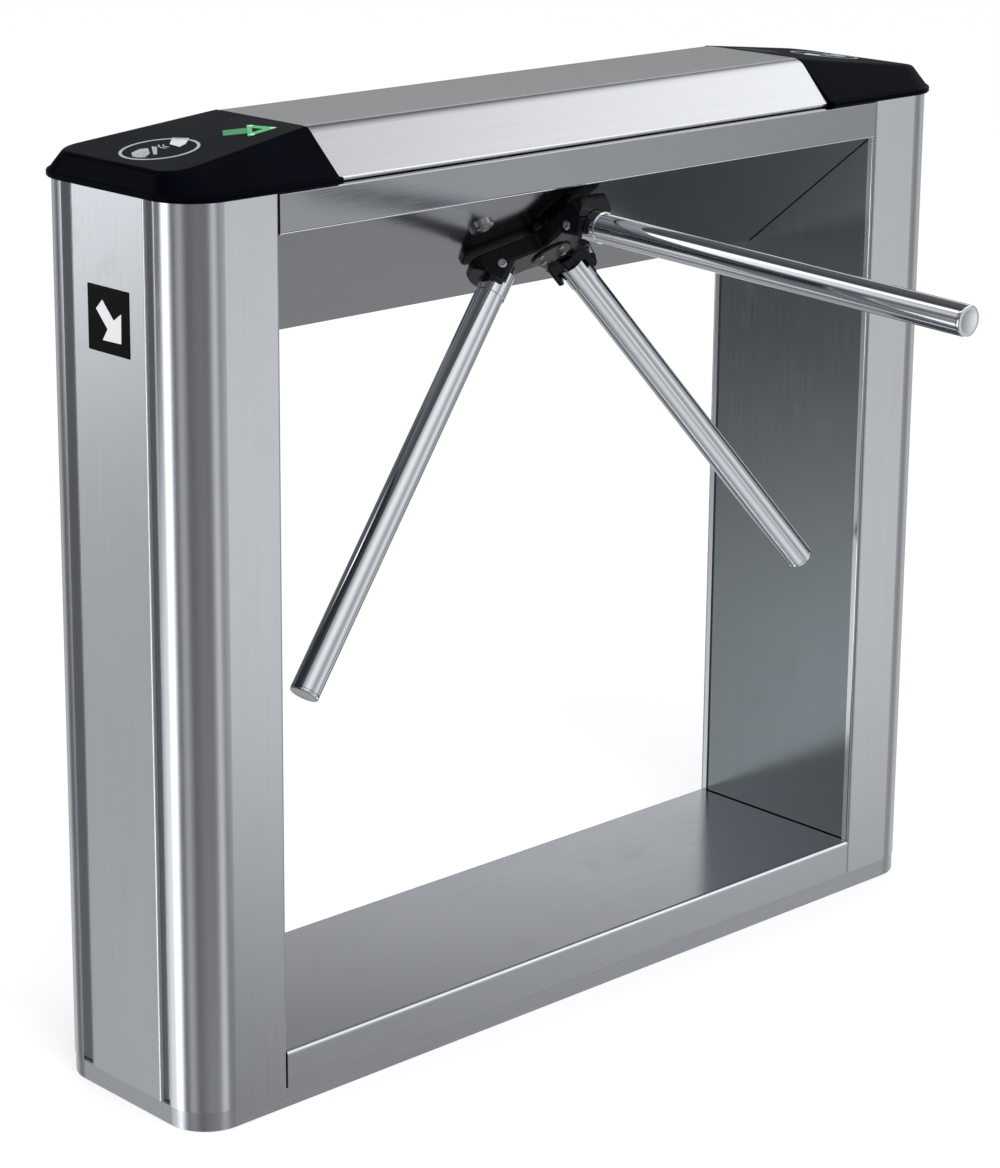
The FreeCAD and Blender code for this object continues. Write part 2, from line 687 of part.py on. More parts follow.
def hood(inset, bottom):
    x0 = seam_x + inset
    lip_z = PILLAR_TOP + CAP_LIP
    side = half_width + CAP_OVERHANG - CAP_SIDE_STEP - inset
    end = half_length + CAP_OVERHANG - CAP_END_STEP - inset
    round_low = COLUMN_RADIUS + CAP_OVERHANG - CAP_SIDE_STEP - inset
    side_top = crease_y - inset
    end_top = half_length - CAP_TOP_SETBACK - inset
    low = cap_plan(x0, end, side, round_low, lip_z)
    high = cap_plan(x0, end_top, side_top, CAP_TOP_RADIUS, lid_top)
    upper = Part.makeLoft([low, high], True, True)
    lower = Part.Face(cap_plan(x0, end, side, round_low, bottom)).extrude(UP * (lip_z - bottom))
    return under_tilt(upper, inset), lower


def top_edges(solid):
    """Edges of the tilted top, apart from the one at the seam with the lid."""
    chosen = []
    for face in solid.Faces:
        normal = face.normalAt(0, 0)
        if normal.z > math.cos(math.radians(CAP_TILT)) - 1e-6 and face.BoundBox.ZMax > lid_top - CAP_WALL:
            for edge in face.Edges:
                if edge.BoundBox.XMax > seam_x + 1e-3:
                    chosen.append(edge)
    return chosen


outer_hood, outer_base = hood(0, PILLAR_TOP)
outer_hood = outer_hood.makeFillet(CAP_CREASE_RADIUS, top_edges(outer_hood))
lip_face = Part.Face(cap_plan(seam_x, half_length + CAP_OVERHANG, half_width + CAP_OVERHANG,
                              COLUMN_RADIUS + CAP_OVERHANG, PILLAR_TOP))
lip = lip_face.extrude(UP * CAP_LIP)
lip_edges = [e for e in lip.Edges if e.BoundBox.ZLength < 1e-6 and e.BoundBox.XMax > seam_x + 1e-3]
lip = lip.makeFillet(CAP_LIP_ROUND, lip_edges)
inner_hood, inner_base = hood(CAP_WALL, PILLAR_TOP - CAP_LIP)
cap = outer_hood.fuse(lip).cut(inner_hood).cut(inner_base)

top_frame = FreeCAD.Placement(V(seam_x, 0, lid_top), FreeCAD.Rotation(V(0, 1, 0), CAP_TILT))


def on_cap(shape):
    """From the tilted top's own frame (Z square to it, X away from the lid) to the cabinet's."""
    copy = shape.copy()
    copy.Placement = top_frame.multiply(copy.Placement)
    return copy


def plate_on(x, y, length, width, z0, z1):
    return box(x - length / 2, x + length / 2, y - width / 2, y + width / 2, z0, z1)


lens_x = LENS_FROM_SEAM + LENS_LENGTH / 2
lens = joined([plate_on(lens_x, LENS_OFF, LENS_LENGTH, LENS_WIDTH, -LENS_SHEET, 0),
               plate_on(lens_x, LENS_OFF, LENS_LENGTH - 2 * LENS_STEP, LENS_WIDTH - 2 * LENS_STEP,
                        -CAP_WALL, -LENS_SHEET)])
recess = joined([plate_on(lens_x, LENS_OFF, LENS_LENGTH + 2 * LENS_FIT, LENS_WIDTH + 2 * LENS_FIT,
                          -LENS_SHEET, CAP_WALL),
                 plate_on(lens_x, LENS_OFF, LENS_LENGTH - 2 * LENS_STEP + 2 * LENS_FIT,
                          LENS_WIDTH - 2 * LENS_STEP + 2 * LENS_FIT, -2 * CAP_WALL, -LENS_SHEET)])
cap = cap.cut(on_cap(recess))

board_top = -CAP_WALL - READER_DROP
reader_end = CAP_LENGTH - CAP_TOP_SETBACK - READER_FROM_EDGE
reader_x = reader_end - READER_LENGTH / 2
posts = []
for sx in (-1, 1):
    for sy in (-1, 1):
        posts.append(on_cap(rod(READER_POST_RADIUS, board_top, -CAP_WALL,
                                reader_x + sx * (READER_LENGTH / 2 - READER_POST_RADIUS),
                                sy * (READER_WIDTH / 2 - READER_POST_RADIUS))))
cap = joined([cap] + posts)
save("far_cap", cap)
save("near_cap", half_turn(cap))
save("far_arrow_lens", on_cap(lens))
save("near_arrow_lens", half_turn(on_cap(lens)))

board_bottom = board_top - BOARD_SHEET
reader = joined([plate_on(reader_x, 0, READER_LENGTH, READER_WIDTH, board_bottom, board_top),
                 plate_on(reader_x, 0, READER_LENGTH / 2, READER_WIDTH / 2,
                          board_bottom - CHIP_HEIGHT, board_bottom)])
save("far_reader_board", on_cap(reader))
save("near_reader_board", half_turn(on_cap(reader)))

# Rotor: hub, cover and arms on the tilted axis
cone_cos = math.cos(math.radians(ARM_CONE))
cone_sin = math.sin(math.radians(ARM_CONE))
apex = V(0, 0, APEX_DEPTH)
arm_angles = [ARM_PHASE - 90.0 + 360.0 / ARM_COUNT * i for i in range(ARM_COUNT)]


def arm_way(angle):
    turn = math.radians(angle)
    return V(cone_sin * math.cos(turn), cone_sin * math.sin(turn), -cone_cos)


def on_arm(angle, radius, start, finish):
    way = arm_way(angle)
    return Part.makeCylinder(radius, finish - start, apex + way * start, way)


hub_top = -HUB_GAP
hub_bottom = hub_top - HUB_THICKNESS
arm_start = HUB_FACET - HUB_FORK_DEPTH
fork_half = ARM_RADIUS + HUB_FORK_CLEARANCE
shaft_low = hub_bottom + HUB_COVER_DEPTH + SHAFT_END_WALL
lobe_gap = 180.0 / ARM_COUNT
waist = HUB_LOBE_HALF / math.sin(math.radians(lobe_gap))


def on_lobe(angle, out, side, bend):
    turn = math.radians(angle)
    return (out * math.cos(turn) - side * math.sin(turn), out * math.sin(turn) + side * math.cos(turn), bend)


hub_plan = []
for angle in arm_angles:
    hub_plan.append(on_lobe(angle, HUB_LOBE_REACH, -HUB_LOBE_HALF, HUB_LOBE_ROUND))
    hub_plan.append(on_lobe(angle, HUB_LOBE_REACH, HUB_LOBE_HALF, HUB_LOBE_ROUND))
    hub_plan.append(on_lobe(angle + lobe_gap, waist, 0.0, HUB_WAIST_ROUND))
hub = prism(hub_plan, flat(hub_bottom), UP * HUB_THICKNESS)
low_edges = [e for e in hub.Edges if e.BoundBox.ZMax < hub_bottom + 1e-3]
hub = hub.makeFillet(HUB_EDGE, low_edges)
high_edges = [e for e in hub.Edges if e.BoundBox.ZMin > hub_top - 1e-3]
hub = hub.makeFillet(HUB_RIM_ROUND, high_edges)


def arm_block(angle, half, start, finish, low, high):
    """Block along an arm: low and high are measured from the arm's axis, square to it."""
    way = V(cone_sin, 0, -cone_cos)
    up = V(cone_cos, 0, cone_sin)
    corners = []
    for s, h in ((start, low), (finish, low), (finish, high), (start, high), (start, low)):
        corners.append(apex + way * s + up * h - V(0, half, 0))
    block = Part.Face(Part.makePolygon(corners)).extrude(V(0, 2 * half, 0))
    block.rotate(MIDDLE, UP, angle)
    return block


def cheek(angle):
    """Both cheeks of a fork in one block, rounded along their lower edges."""
    block = arm_block(0.0, HUB_LOBE_HALF, HUB_FACET - HUB_CHEEK_LENGTH, HUB_FACET,
                      -HUB_CHEEK_DROP, HUB_CHEEK_DROP)
    up = V(cone_cos, 0, cone_sin)
    low = [e for e in block.Edges if abs((e.CenterOfMass - apex).dot(up) + HUB_CHEEK_DROP) < 1e-3]
    sides = [e for e in low if abs(e.CenterOfMass.y) > HUB_LOBE_HALF - 1e-3]
    block = block.makeFillet(HUB_CHEEK_ROUND, sides)
    block.rotate(MIDDLE, UP, angle)
    return block


deep_plan = prism(hub_plan, flat(hub_bottom - 2 * HUB_THICKNESS), UP * (3 * HUB_THICKNESS - HUB_RIM))
hub = joined([hub] + [deep_plan.common(cheek(angle)) for angle in arm_angles])
rim_slab = rod(2 * HUB_LOBE_REACH, hub_top - HUB_RIM, apex.z)
for angle in arm_angles:
    hub = hub.cut(on_arm(angle, HUB_LOBE_REACH, HUB_FACET, ARM_TIP).cut(rim_slab))
    hub = hub.cut(on_arm(angle, fork_half, arm_start, ARM_TIP))
    hub = hub.cut(arm_block(angle, fork_half, arm_start, ARM_TIP, -HUB_FACET, 0.0))
hub = hub.cut(rod(SHAFT_RADIUS + SHAFT_FIT, shaft_low, 0))
hub = hub.cut(rod(HUB_COVER_RADIUS, hub_bottom, hub_bottom + HUB_COVER_DEPTH))
spigot_radius = ARM_RADIUS - ARM_WALL - SPIGOT_FIT
above_hub = rod(2 * HUB_LOBE_REACH, hub_top, apex.z)
spigots = [on_arm(angle, spigot_radius, arm_start - SPIGOT_ROOT, arm_start + SPIGOT_LENGTH).cut(above_hub)
           for angle in arm_angles]
hub = joined([hub] + spigots)
save("tripod_hub", seated(hub))

cover_wall = HUB_COVER_RADIUS - SHAFT_FIT
hub_cover = rod(cover_wall, hub_bottom - HUB_COVER_DOME, hub_bottom + HUB_COVER_DEPTH)
dome_rim = [e for e in hub_cover.Edges if e.BoundBox.ZMax < hub_bottom]
hub_cover = hub_cover.makeFillet(HUB_COVER_DOME, dome_rim)
save("hub_cover", seated(hub_cover))

arm_names = ["barrier_arm_upper", "barrier_arm_right", "barrier_arm_left"]
plugs = []
collars = []
collar_radius = ARM_RADIUS + COLLAR_FIT + COLLAR_WALL
for name, angle in zip(arm_names, arm_angles):
    tube_end = ARM_TIP - PLUG_HEAD
    bore = ARM_RADIUS - ARM_WALL
    tube = on_arm(angle, ARM_RADIUS, arm_start, tube_end).cut(on_arm(angle, bore, arm_start, tube_end))
    save(name, seated(tube))
    plug = on_arm(angle, ARM_RADIUS, tube_end, ARM_TIP)
    plug = plug.fuse(on_arm(angle, bore - PLUG_FIT, tube_end - PLUG_SPIGOT, tube_end))
    plugs.append(seated(plug.removeSplitter()))
    collar = on_arm(angle, collar_radius, arm_start, arm_start + COLLAR_LENGTH)
    collars.append(seated(collar.cut(on_arm(angle, ARM_RADIUS + COLLAR_FIT, arm_start, ARM_TIP))))
save("arm_end_plugs", Part.makeCompound(plugs))
save("arm_collars", Part.makeCompound(collars))

# Shaft, seal, plate and bearings
save("main_shaft", seated(rod(SHAFT_RADIUS, shaft_low, shaft_top)))
seal_radius = SHAFT_RADIUS + SEAL_LIP + SEAL_BODY
seal = turned([(SHAFT_RADIUS + SEAL_LIP, SHEET), (seal_radius, SHEET),
               (seal_radius, SHEET + SEAL_HEIGHT), (SHAFT_RADIUS + SEAL_LIP, SHEET + SEAL_HEIGHT)])
save("shaft_seal", seated(seal))

plate = prism([(-plate_x, -PLATE_FRONT, PLATE_CORNER), (plate_x, -PLATE_FRONT, PLATE_CORNER),
               (plate_x, plate_rear, PLATE_CORNER), (-plate_x, plate_rear, PLATE_CORNER)],
              flat(plate_low), UP * PLATE)
plate = plate.cut(rod(BEARING_RADIUS - HOUSING_SHOULDER, plate_low, plate_high))
plate = plate.cut(rod(PLATE_LOCK_HOLE, plate_low, plate_high, LOCK_X, LOCK_Y))
save("mechanism_plate", seated(plate))

standoffs = []
for sx in (-1, 1):
    for y in (-PLATE_FRONT + STANDOFF_EDGE, plate_rear - STANDOFF_EDGE):
        standoffs.append(seated(rod(STANDOFF_RADIUS, SHEET, plate_low, sx * (plate_x - STANDOFF_EDGE), y)))
save("plate_standoffs", Part.makeCompound(standoffs))

seat_radius = BEARING_RADIUS + BEARING_FIT
housing_radius = BEARING_RADIUS + HOUSING_WALL
waist_radius = BEARING_RADIUS - HOUSING_SHOULDER
housing_flange = housing_radius + HOUSING_FLANGE_REACH
housing = turned([
    (waist_radius, plate_high), (housing_flange, plate_high),
    (housing_flange, plate_high + HOUSING_FLANGE), (housing_radius, plate_high + HOUSING_FLANGE),
    (housing_radius, housing_top), (seat_radius, housing_top), (seat_radius, upper_bearing),
    (waist_radius, upper_bearing), (waist_radius, lower_bearing + BEARING_WIDTH),
    (seat_radius, lower_bearing + BEARING_WIDTH), (seat_radius, lower_bearing),
    (waist_radius, lower_bearing)])
save("bearing_housing", seated(housing))

outer_races = []
inner_races = []
inner_land = SHAFT_RADIUS + SHAFT_FIT + BEARING_RACE
outer_land = BEARING_RADIUS - BEARING_RACE
shield = inner_land + BEARING_SHIELD_GAP
for z in (lower_bearing, upper_bearing):
    top = z + BEARING_WIDTH
    outer_races.append(seated(turned([
        (shield, z), (BEARING_RADIUS, z), (BEARING_RADIUS, top), (shield, top),
        (shield, top - BEARING_SHIELD), (outer_land, top - BEARING_SHIELD),
        (outer_land, z + BEARING_SHIELD), (shield, z + BEARING_SHIELD)])))
    bore = SHAFT_RADIUS + SHAFT_FIT
    inner_races.append(seated(turned([(bore, z), (inner_land, z), (inner_land, top), (bore, top)])))
save("bearing_outer_races", Part.makeCompound(outer_races))
save("bearing_inner_races", Part.makeCompound(inner_races))

# Lock disc, drive gear, encoder disc and shaft collar stacked on the shaft
shaft_bore = SHAFT_RADIUS + SHAFT_FIT
boss_low = housing_top + DISC_LIFT / 2
disc = rod(DISC_RADIUS, disc_low, disc_high).fuse(rod(BOSS_RADIUS, boss_low, disc_low))
for i in range(NOTCH_COUNT):
    notch = box(DISC_RADIUS - NOTCH_DEPTH, DISC_RADIUS + NOTCH_DEPTH, -NOTCH_WIDTH / 2, NOTCH_WIDTH / 2,
                disc_low, disc_high)
    notch.rotate(MIDDLE, UP, 360.0 / NOTCH_COUNT * i)
    disc = disc.cut(notch)
disc = disc.cut(rod(shaft_bore, boss_low, disc_high))
save("lock_disc", seated(disc))


def gear(teeth, z0, z1, phase):
    """Spur gear with straight-flanked teeth thinned by the backlash."""
    pitch = GEAR_MODULE * teeth / 2
    tip = pitch + GEAR_MODULE - GEAR_BACKLASH
    root = pitch - GEAR_DEDENDUM * GEAR_MODULE
    step = 2 * math.pi / teeth
    half_pitch = (math.pi * GEAR_MODULE / 4 - GEAR_BACKLASH / 2) / pitch
    lean = math.tan(math.radians(PRESSURE_ANGLE))
    half_tip = half_pitch - (tip - pitch) * lean / pitch
    half_root = half_pitch + (pitch - root) * lean / pitch
    points = []
    for i in range(teeth):
        middle = step * i + phase
        for radius, turn in ((root, -half_root), (tip, -half_tip), (tip, half_tip), (root, half_root)):
            points.append(V(radius * math.cos(middle + turn), radius * math.sin(middle + turn), z0))
    return Part.Face(Part.makePolygon(points + points[:1])).extrude(UP * (z1 - z0))


mesh = math.radians(90)
main_gear = gear(GEAR_TEETH, gear_low, gear_high, mesh)
main_gear = main_gear.fuse(rod(BOSS_RADIUS, disc_high, gear_low))
main_gear = main_gear.fuse(rod(BOSS_RADIUS, gear_high, encoder_low))
for i in range(NOTCH_COUNT):
    turn = 2 * math.pi * i / NOTCH_COUNT
    main_gear = main_gear.cut(rod(GEAR_WINDOW_RADIUS, gear_low, gear_high, GEAR_WINDOW_PITCH * math.cos(turn),
                                  GEAR_WINDOW_PITCH * math.sin(turn)))
main_gear = main_gear.cut(rod(shaft_bore, disc_high, encoder_low))
save("drive_gear", seated(main_gear))

encoder = rod(ENCODER_RADIUS, encoder_low, encoder_high).cut(rod(shaft_bore, encoder_low, encoder_high))
slot_far = ENCODER_RADIUS - ENCODER_RIM
for i in range(ENCODER_SLOTS):
    slot = box(slot_far - ENCODER_SLOT_LENGTH, slot_far, -ENCODER_SLOT_WIDTH / 2, ENCODER_SLOT_WIDTH / 2,
               encoder_low, encoder_high)
    slot.rotate(MIDDLE, UP, 360.0 / ENCODER_SLOTS * i)
    encoder = encoder.cut(slot)
save("encoder_disc", seated(encoder))
nut = rod(NUT_RADIUS, encoder_high, shaft_top).cut(rod(shaft_bore, encoder_high, shaft_top))
save("shaft_collar", seated(nut))

jaw_in = -(ENCODER_RADIUS - SENSOR_REACH)
column_out = -(GEAR_MODULE * (GEAR_TEETH / 2 + 1) + SENSOR_STAND + SENSOR_COLUMN)
column_in = column_out + SENSOR_COLUMN
slot_low = encoder_low - SENSOR_GAP
slot_high = encoder_high + SENSOR_GAP
slot_end = -ENCODER_RADIUS - SENSOR_GAP
sensor_corners = [(column_out, plate_high, 0), (column_in, plate_high, 0),
                  (column_in, slot_low - SENSOR_JAW, 0), (jaw_in, slot_low - SENSOR_JAW, 0),
                  (jaw_in, slot_low, 0), (slot_end, slot_low, 0), (slot_end, slot_high, 0),
                  (jaw_in, slot_high, 0), (jaw_in, slot_high + SENSOR_JAW, 0),
                  (column_out, slot_high + SENSOR_JAW, 0)]
sensor = prism(sensor_corners, along_x(-SENSOR_WIDTH / 2), V(SENSOR_WIDTH, 0, 0))
save("encoder_sensor", seated(sensor))

# Motor beside the shaft, on the rear side of the plate
motor_top = disc_low - MOTOR_CLEAR
boss_top = motor_top + MOTOR_BOSS
motor = joined([rod(MOTOR_FOOT_RADIUS, plate_high, plate_high + MOTOR_FOOT, 0, motor_y),
                rod(MOTOR_RADIUS, plate_high + MOTOR_FOOT, motor_top, 0, motor_y),
                rod(MOTOR_BOSS_RADIUS, motor_top, boss_top, 0, motor_y)])
motor = motor.cut(rod(MOTOR_SHAFT_RADIUS + RUNNING_FIT, boss_top - MOTOR_SHAFT_DEPTH, boss_top, 0, motor_y))
save("drive_motor", seated(motor))
pinion = gear(PINION_TEETH, gear_low - PINION_EXTRA, gear_high + PINION_EXTRA, math.pi / PINION_TEETH - mesh)
pinion.translate(V(0, motor_y, 0))
spindle = rod(MOTOR_SHAFT_RADIUS, boss_top - MOTOR_SHAFT_DEPTH + RUNNING_FIT, gear_high + PINION_EXTRA,
              0, motor_y)
save("motor_pinion", seated(joined([pinion, spindle])))

# Pawls: built on the left of the disc, mirrored to the right
pawl_low = (disc_low + disc_high - PAWL_SHEET) / 2
pawl_high = pawl_low + PAWL_SHEET
pivot_y = -PAWL_ARM
bar_in = pawl_x + PAWL_WIDTH / 2
bar_out = pawl_x - PAWL_WIDTH / 2
tooth_tip = -(DISC_RADIUS + PAWL_REST_GAP)
tooth_low = PAWL_TOOTH_LEAD - PAWL_TOOTH_WIDTH / 2
tooth_high = PAWL_TOOTH_LEAD + PAWL_TOOTH_WIDTH / 2
link_y = pivot_y + PAWL_LINK_ALONG
link_in = link_x + LINK_PIN_RADIUS + PAWL_WIDTH / 2
link_end = link_y + PAWL_LINK_END
pawl_corners = [(bar_out, pivot_y, 0), (bar_in, pivot_y, 0), (bar_in, tooth_low, 0),
                (tooth_tip, tooth_low, PAWL_TOOTH_ROUND), (tooth_tip, tooth_high, PAWL_TOOTH_ROUND),
                (link_in, tooth_high, 0), (link_in, link_end, PAWL_END_ROUND),
                (link_out, link_end, PAWL_END_ROUND), (link_out, tooth_low, 0)]
pawl = prism(pawl_corners, flat(pawl_low), UP * PAWL_SHEET)
pawl = joined([pawl, rod(PAWL_BOSS_RADIUS, pawl_low, pawl_high, pawl_x, pivot_y)])
pawl = pawl.cut(rod(PIVOT_PIN_RADIUS + RUNNING_FIT, pawl_low, pawl_high, pawl_x, pivot_y))
slot_half = LINK_PIN_RADIUS + LINK_SLOT_CLEARANCE
link_slot = joined([rod(slot_half, pawl_low, pawl_high, link_x, link_y - LINK_SLOT_TRAVEL),
                    rod(slot_half, pawl_low, pawl_high, link_x, link_y + LINK_SLOT_TRAVEL),
                    box(link_x - slot_half, link_x + slot_half, link_y - LINK_SLOT_TRAVEL,
                        link_y + LINK_SLOT_TRAVEL, pawl_low, pawl_high)])
pawl = pawl.cut(link_slot)
save("left_lock_pawl", seated(pawl))
save("right_lock_pawl", seated(mirrored(pawl)))

pivot = joined([rod(PIVOT_RADIUS, plate_high, pawl_low - PAWL_FOOT_GAP, pawl_x, pivot_y),
                rod(PIVOT_PIN_RADIUS, plate_high, pawl_high + PIVOT_TOP, pawl_x, pivot_y)])
save("pawl_pivots", Part.makeCompound([seated(pivot), seated(mirrored(pivot))]))

fork_low = pawl_low - FORK_GAP - FORK_SHEET
fork_high = pawl_high + FORK_GAP + FORK_SHEET
plunger_z = (pawl_low + pawl_high) / 2
fork_front = link_x + FORK_NOSE
fork_y0 = link_y - FORK_WIDTH / 2
fork_y1 = link_y + FORK_WIDTH / 2
plunger = joined([
    box(fork_back, fork_front, fork_y0, fork_y1, fork_low, fork_low + FORK_SHEET),
    box(fork_back, fork_front, fork_y0, fork_y1, fork_high - FORK_SHEET, fork_high),
    box(fork_back, fork_back + FORK_SHEET, fork_y0, fork_y1, fork_low, fork_high),
    rod(LINK_PIN_RADIUS, fork_low, fork_high, link_x, link_y),
    Part.makeCylinder(PLUNGER_RADIUS, PLUNGER_LENGTH, V(fork_back, link_y, plunger_z), V(-1, 0, 0))])
save("left_solenoid_plunger", seated(plunger))
save("right_solenoid_plunger", seated(mirrored(plunger)))

coil_side = SOLENOID_SIDE / 2
coil = box(coil_back, coil_front, link_y - coil_side, link_y + coil_side,
           plunger_z - coil_side, plunger_z + coil_side)
coil = coil.cut(Part.makeCylinder(PLUNGER_RADIUS + RUNNING_FIT, SOLENOID_LENGTH,
                                  V(coil_front, link_y, plunger_z), V(-1, 0, 0)))
save("lock_solenoids", Part.makeCompound([seated(coil), seated(mirrored(coil))]))

shelf = plunger_z - coil_side
bracket_corners = [(coil_front, plate_high, 0), (coil_back, plate_high, 0), (coil_back, shelf, 0),
                   (coil_front, shelf, 0), (coil_front, shelf - BRACKET_SHEET, 0),
                   (coil_back + BRACKET_SHEET, shelf - BRACKET_SHEET, 0),
                   (coil_back + BRACKET_SHEET, plate_high + BRACKET_SHEET, 0),
                   (coil_front, plate_high + BRACKET_SHEET, 0)]
bracket = prism(bracket_corners, lambda x, z: V(x, link_y - coil_side, z), V(0, SOLENOID_SIDE, 0))
save("solenoid_brackets", Part.makeCompound([seated(bracket), seated(mirrored(bracket))]))

# Electronics on the inner face of the slope
control_x = -(portal_x - CONTROL_FROM_PILLAR)
supply_x = portal_x - SUPPLY_FROM_PILLAR
control_low = SHEET + CONTROL_STANDOFF
control_high = control_low + BOARD_SHEET
control_parts = [plate_on(control_x, 0, CONTROL_LENGTH, CONTROL_WIDTH, control_low, control_high)]
terminal_y = CONTROL_WIDTH / 2 - TERMINAL_DEPTH / 2
for side in (-1, 1):
    control_parts.append(plate_on(control_x, side * terminal_y, CONTROL_LENGTH - 2 * RELAY_SIDE,
                                  TERMINAL_DEPTH, control_high, control_high + TERMINAL_HEIGHT))
for i in range(RELAY_COUNT):
    relay_x = control_x + (i - (RELAY_COUNT - 1) / 2) * RELAY_PITCH
    control_parts.append(plate_on(relay_x, 0, RELAY_SIDE, RELAY_SIDE,
                                  control_high, control_high + RELAY_HEIGHT))
save("control_board", seated(joined(control_parts)))
posts = []
for sx in (-1, 1):
    for sy in (-1, 1):
        posts.append(seated(rod(CONTROL_POST_RADIUS, SHEET, control_low,
                                control_x + sx * (CONTROL_LENGTH / 2 - CONTROL_POST_EDGE),
                                sy * (CONTROL_WIDTH / 2 - CONTROL_POST_EDGE))))
save("board_standoffs", Part.makeCompound(posts))
supply = plate_on(supply_x, 0, SUPPLY_LENGTH, SUPPLY_WIDTH, SHEET, SHEET + SUPPLY_HEIGHT)
supply = supply.makeFillet(SUPPLY_EDGE, [e for e in supply.Edges if e.BoundBox.ZLength > SUPPLY_HEIGHT / 2])
save("power_supply", seated(supply))
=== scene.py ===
# %% [markdown]
# A tripod turnstile: a brushed steel cabinet with two pillars, a beam with a lid, black end caps and three
# polished arms on a tilted hub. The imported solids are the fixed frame, so this script only dresses them.
# The start-up cube, lamp and camera go first, because they would count in the measured box.

# %% Load the frame
import json
import math

import bmesh
import bpy
import numpy as np
from mathutils import Matrix

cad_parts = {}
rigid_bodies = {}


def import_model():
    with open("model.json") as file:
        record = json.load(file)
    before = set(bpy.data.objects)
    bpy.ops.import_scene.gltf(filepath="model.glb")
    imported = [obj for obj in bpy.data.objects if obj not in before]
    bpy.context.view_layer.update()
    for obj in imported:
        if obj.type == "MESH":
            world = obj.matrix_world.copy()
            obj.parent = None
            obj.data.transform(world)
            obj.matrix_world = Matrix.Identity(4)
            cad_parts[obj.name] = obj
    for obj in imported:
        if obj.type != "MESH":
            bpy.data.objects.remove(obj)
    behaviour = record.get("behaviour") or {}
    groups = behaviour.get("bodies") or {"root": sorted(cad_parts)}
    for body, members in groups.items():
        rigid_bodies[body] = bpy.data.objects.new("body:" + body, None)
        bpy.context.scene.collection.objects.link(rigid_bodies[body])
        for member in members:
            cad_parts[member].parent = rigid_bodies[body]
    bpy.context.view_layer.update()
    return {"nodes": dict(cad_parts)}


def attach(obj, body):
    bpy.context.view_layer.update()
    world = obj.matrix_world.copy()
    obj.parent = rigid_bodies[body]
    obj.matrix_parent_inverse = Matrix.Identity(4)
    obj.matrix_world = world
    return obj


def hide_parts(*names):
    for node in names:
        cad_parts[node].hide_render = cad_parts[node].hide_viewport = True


for leftover in list(bpy.data.objects):
    bpy.data.objects.remove(leftover)
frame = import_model()
nodes = frame["nodes"]

# %% [markdown]
# The photograph was taken with a long lens from the front left, a little above the lid. Its verticals stay
# nearly upright, so the view looks down a little less than the framing suggests, and a small lens shift brings
# the object back to the middle. All its values were fitted to the cabinet's corners and the arms.

# %% Camera
YAW, PITCH, ROLL = np.radians([42.8611, 15.2989, 0.3124])
EYE = (-2.4473, -2.5420, 1.5338)
FOCAL_LENGTH, SENSOR_WIDTH, FAR_CLIP = 102.022, 36.0, 200.0
SHIFT_X, SHIFT_Y = 0.0342, -0.0890
forward = np.array([np.sin(YAW) * np.cos(PITCH), np.cos(YAW) * np.cos(PITCH), -np.sin(PITCH)])
level_right = np.array([np.cos(YAW), -np.sin(YAW), 0.0])
level_up = np.cross(level_right, forward)
right = level_right * np.cos(ROLL) + level_up * np.sin(ROLL)
up = level_up * np.cos(ROLL) - level_right * np.sin(ROLL)
pose = np.eye(4)
pose[:3, 0], pose[:3, 1], pose[:3, 2] = right, up, -forward
pose[:3, 3] = EYE
lens_data = bpy.data.cameras.new("camera")
lens_data.lens = FOCAL_LENGTH
lens_data.sensor_width = SENSOR_WIDTH
lens_data.shift_x = SHIFT_X
lens_data.shift_y = SHIFT_Y
lens_data.clip_end = FAR_CLIP
camera = bpy.data.objects.new("camera", lens_data)
camera.matrix_world = Matrix(pose.tolist())
bpy.context.scene.collection.objects.link(camera)
bpy.context.scene.camera = camera
print("camera at", pose[:3, 3], "lens", lens_data.lens)

# %% [markdown]
# Shader maths reads best as plain expressions. This class holds one output socket, and each operator on it
# adds a Math node, so 1 - mask works. Every other node comes from one method: settings first, then sockets.


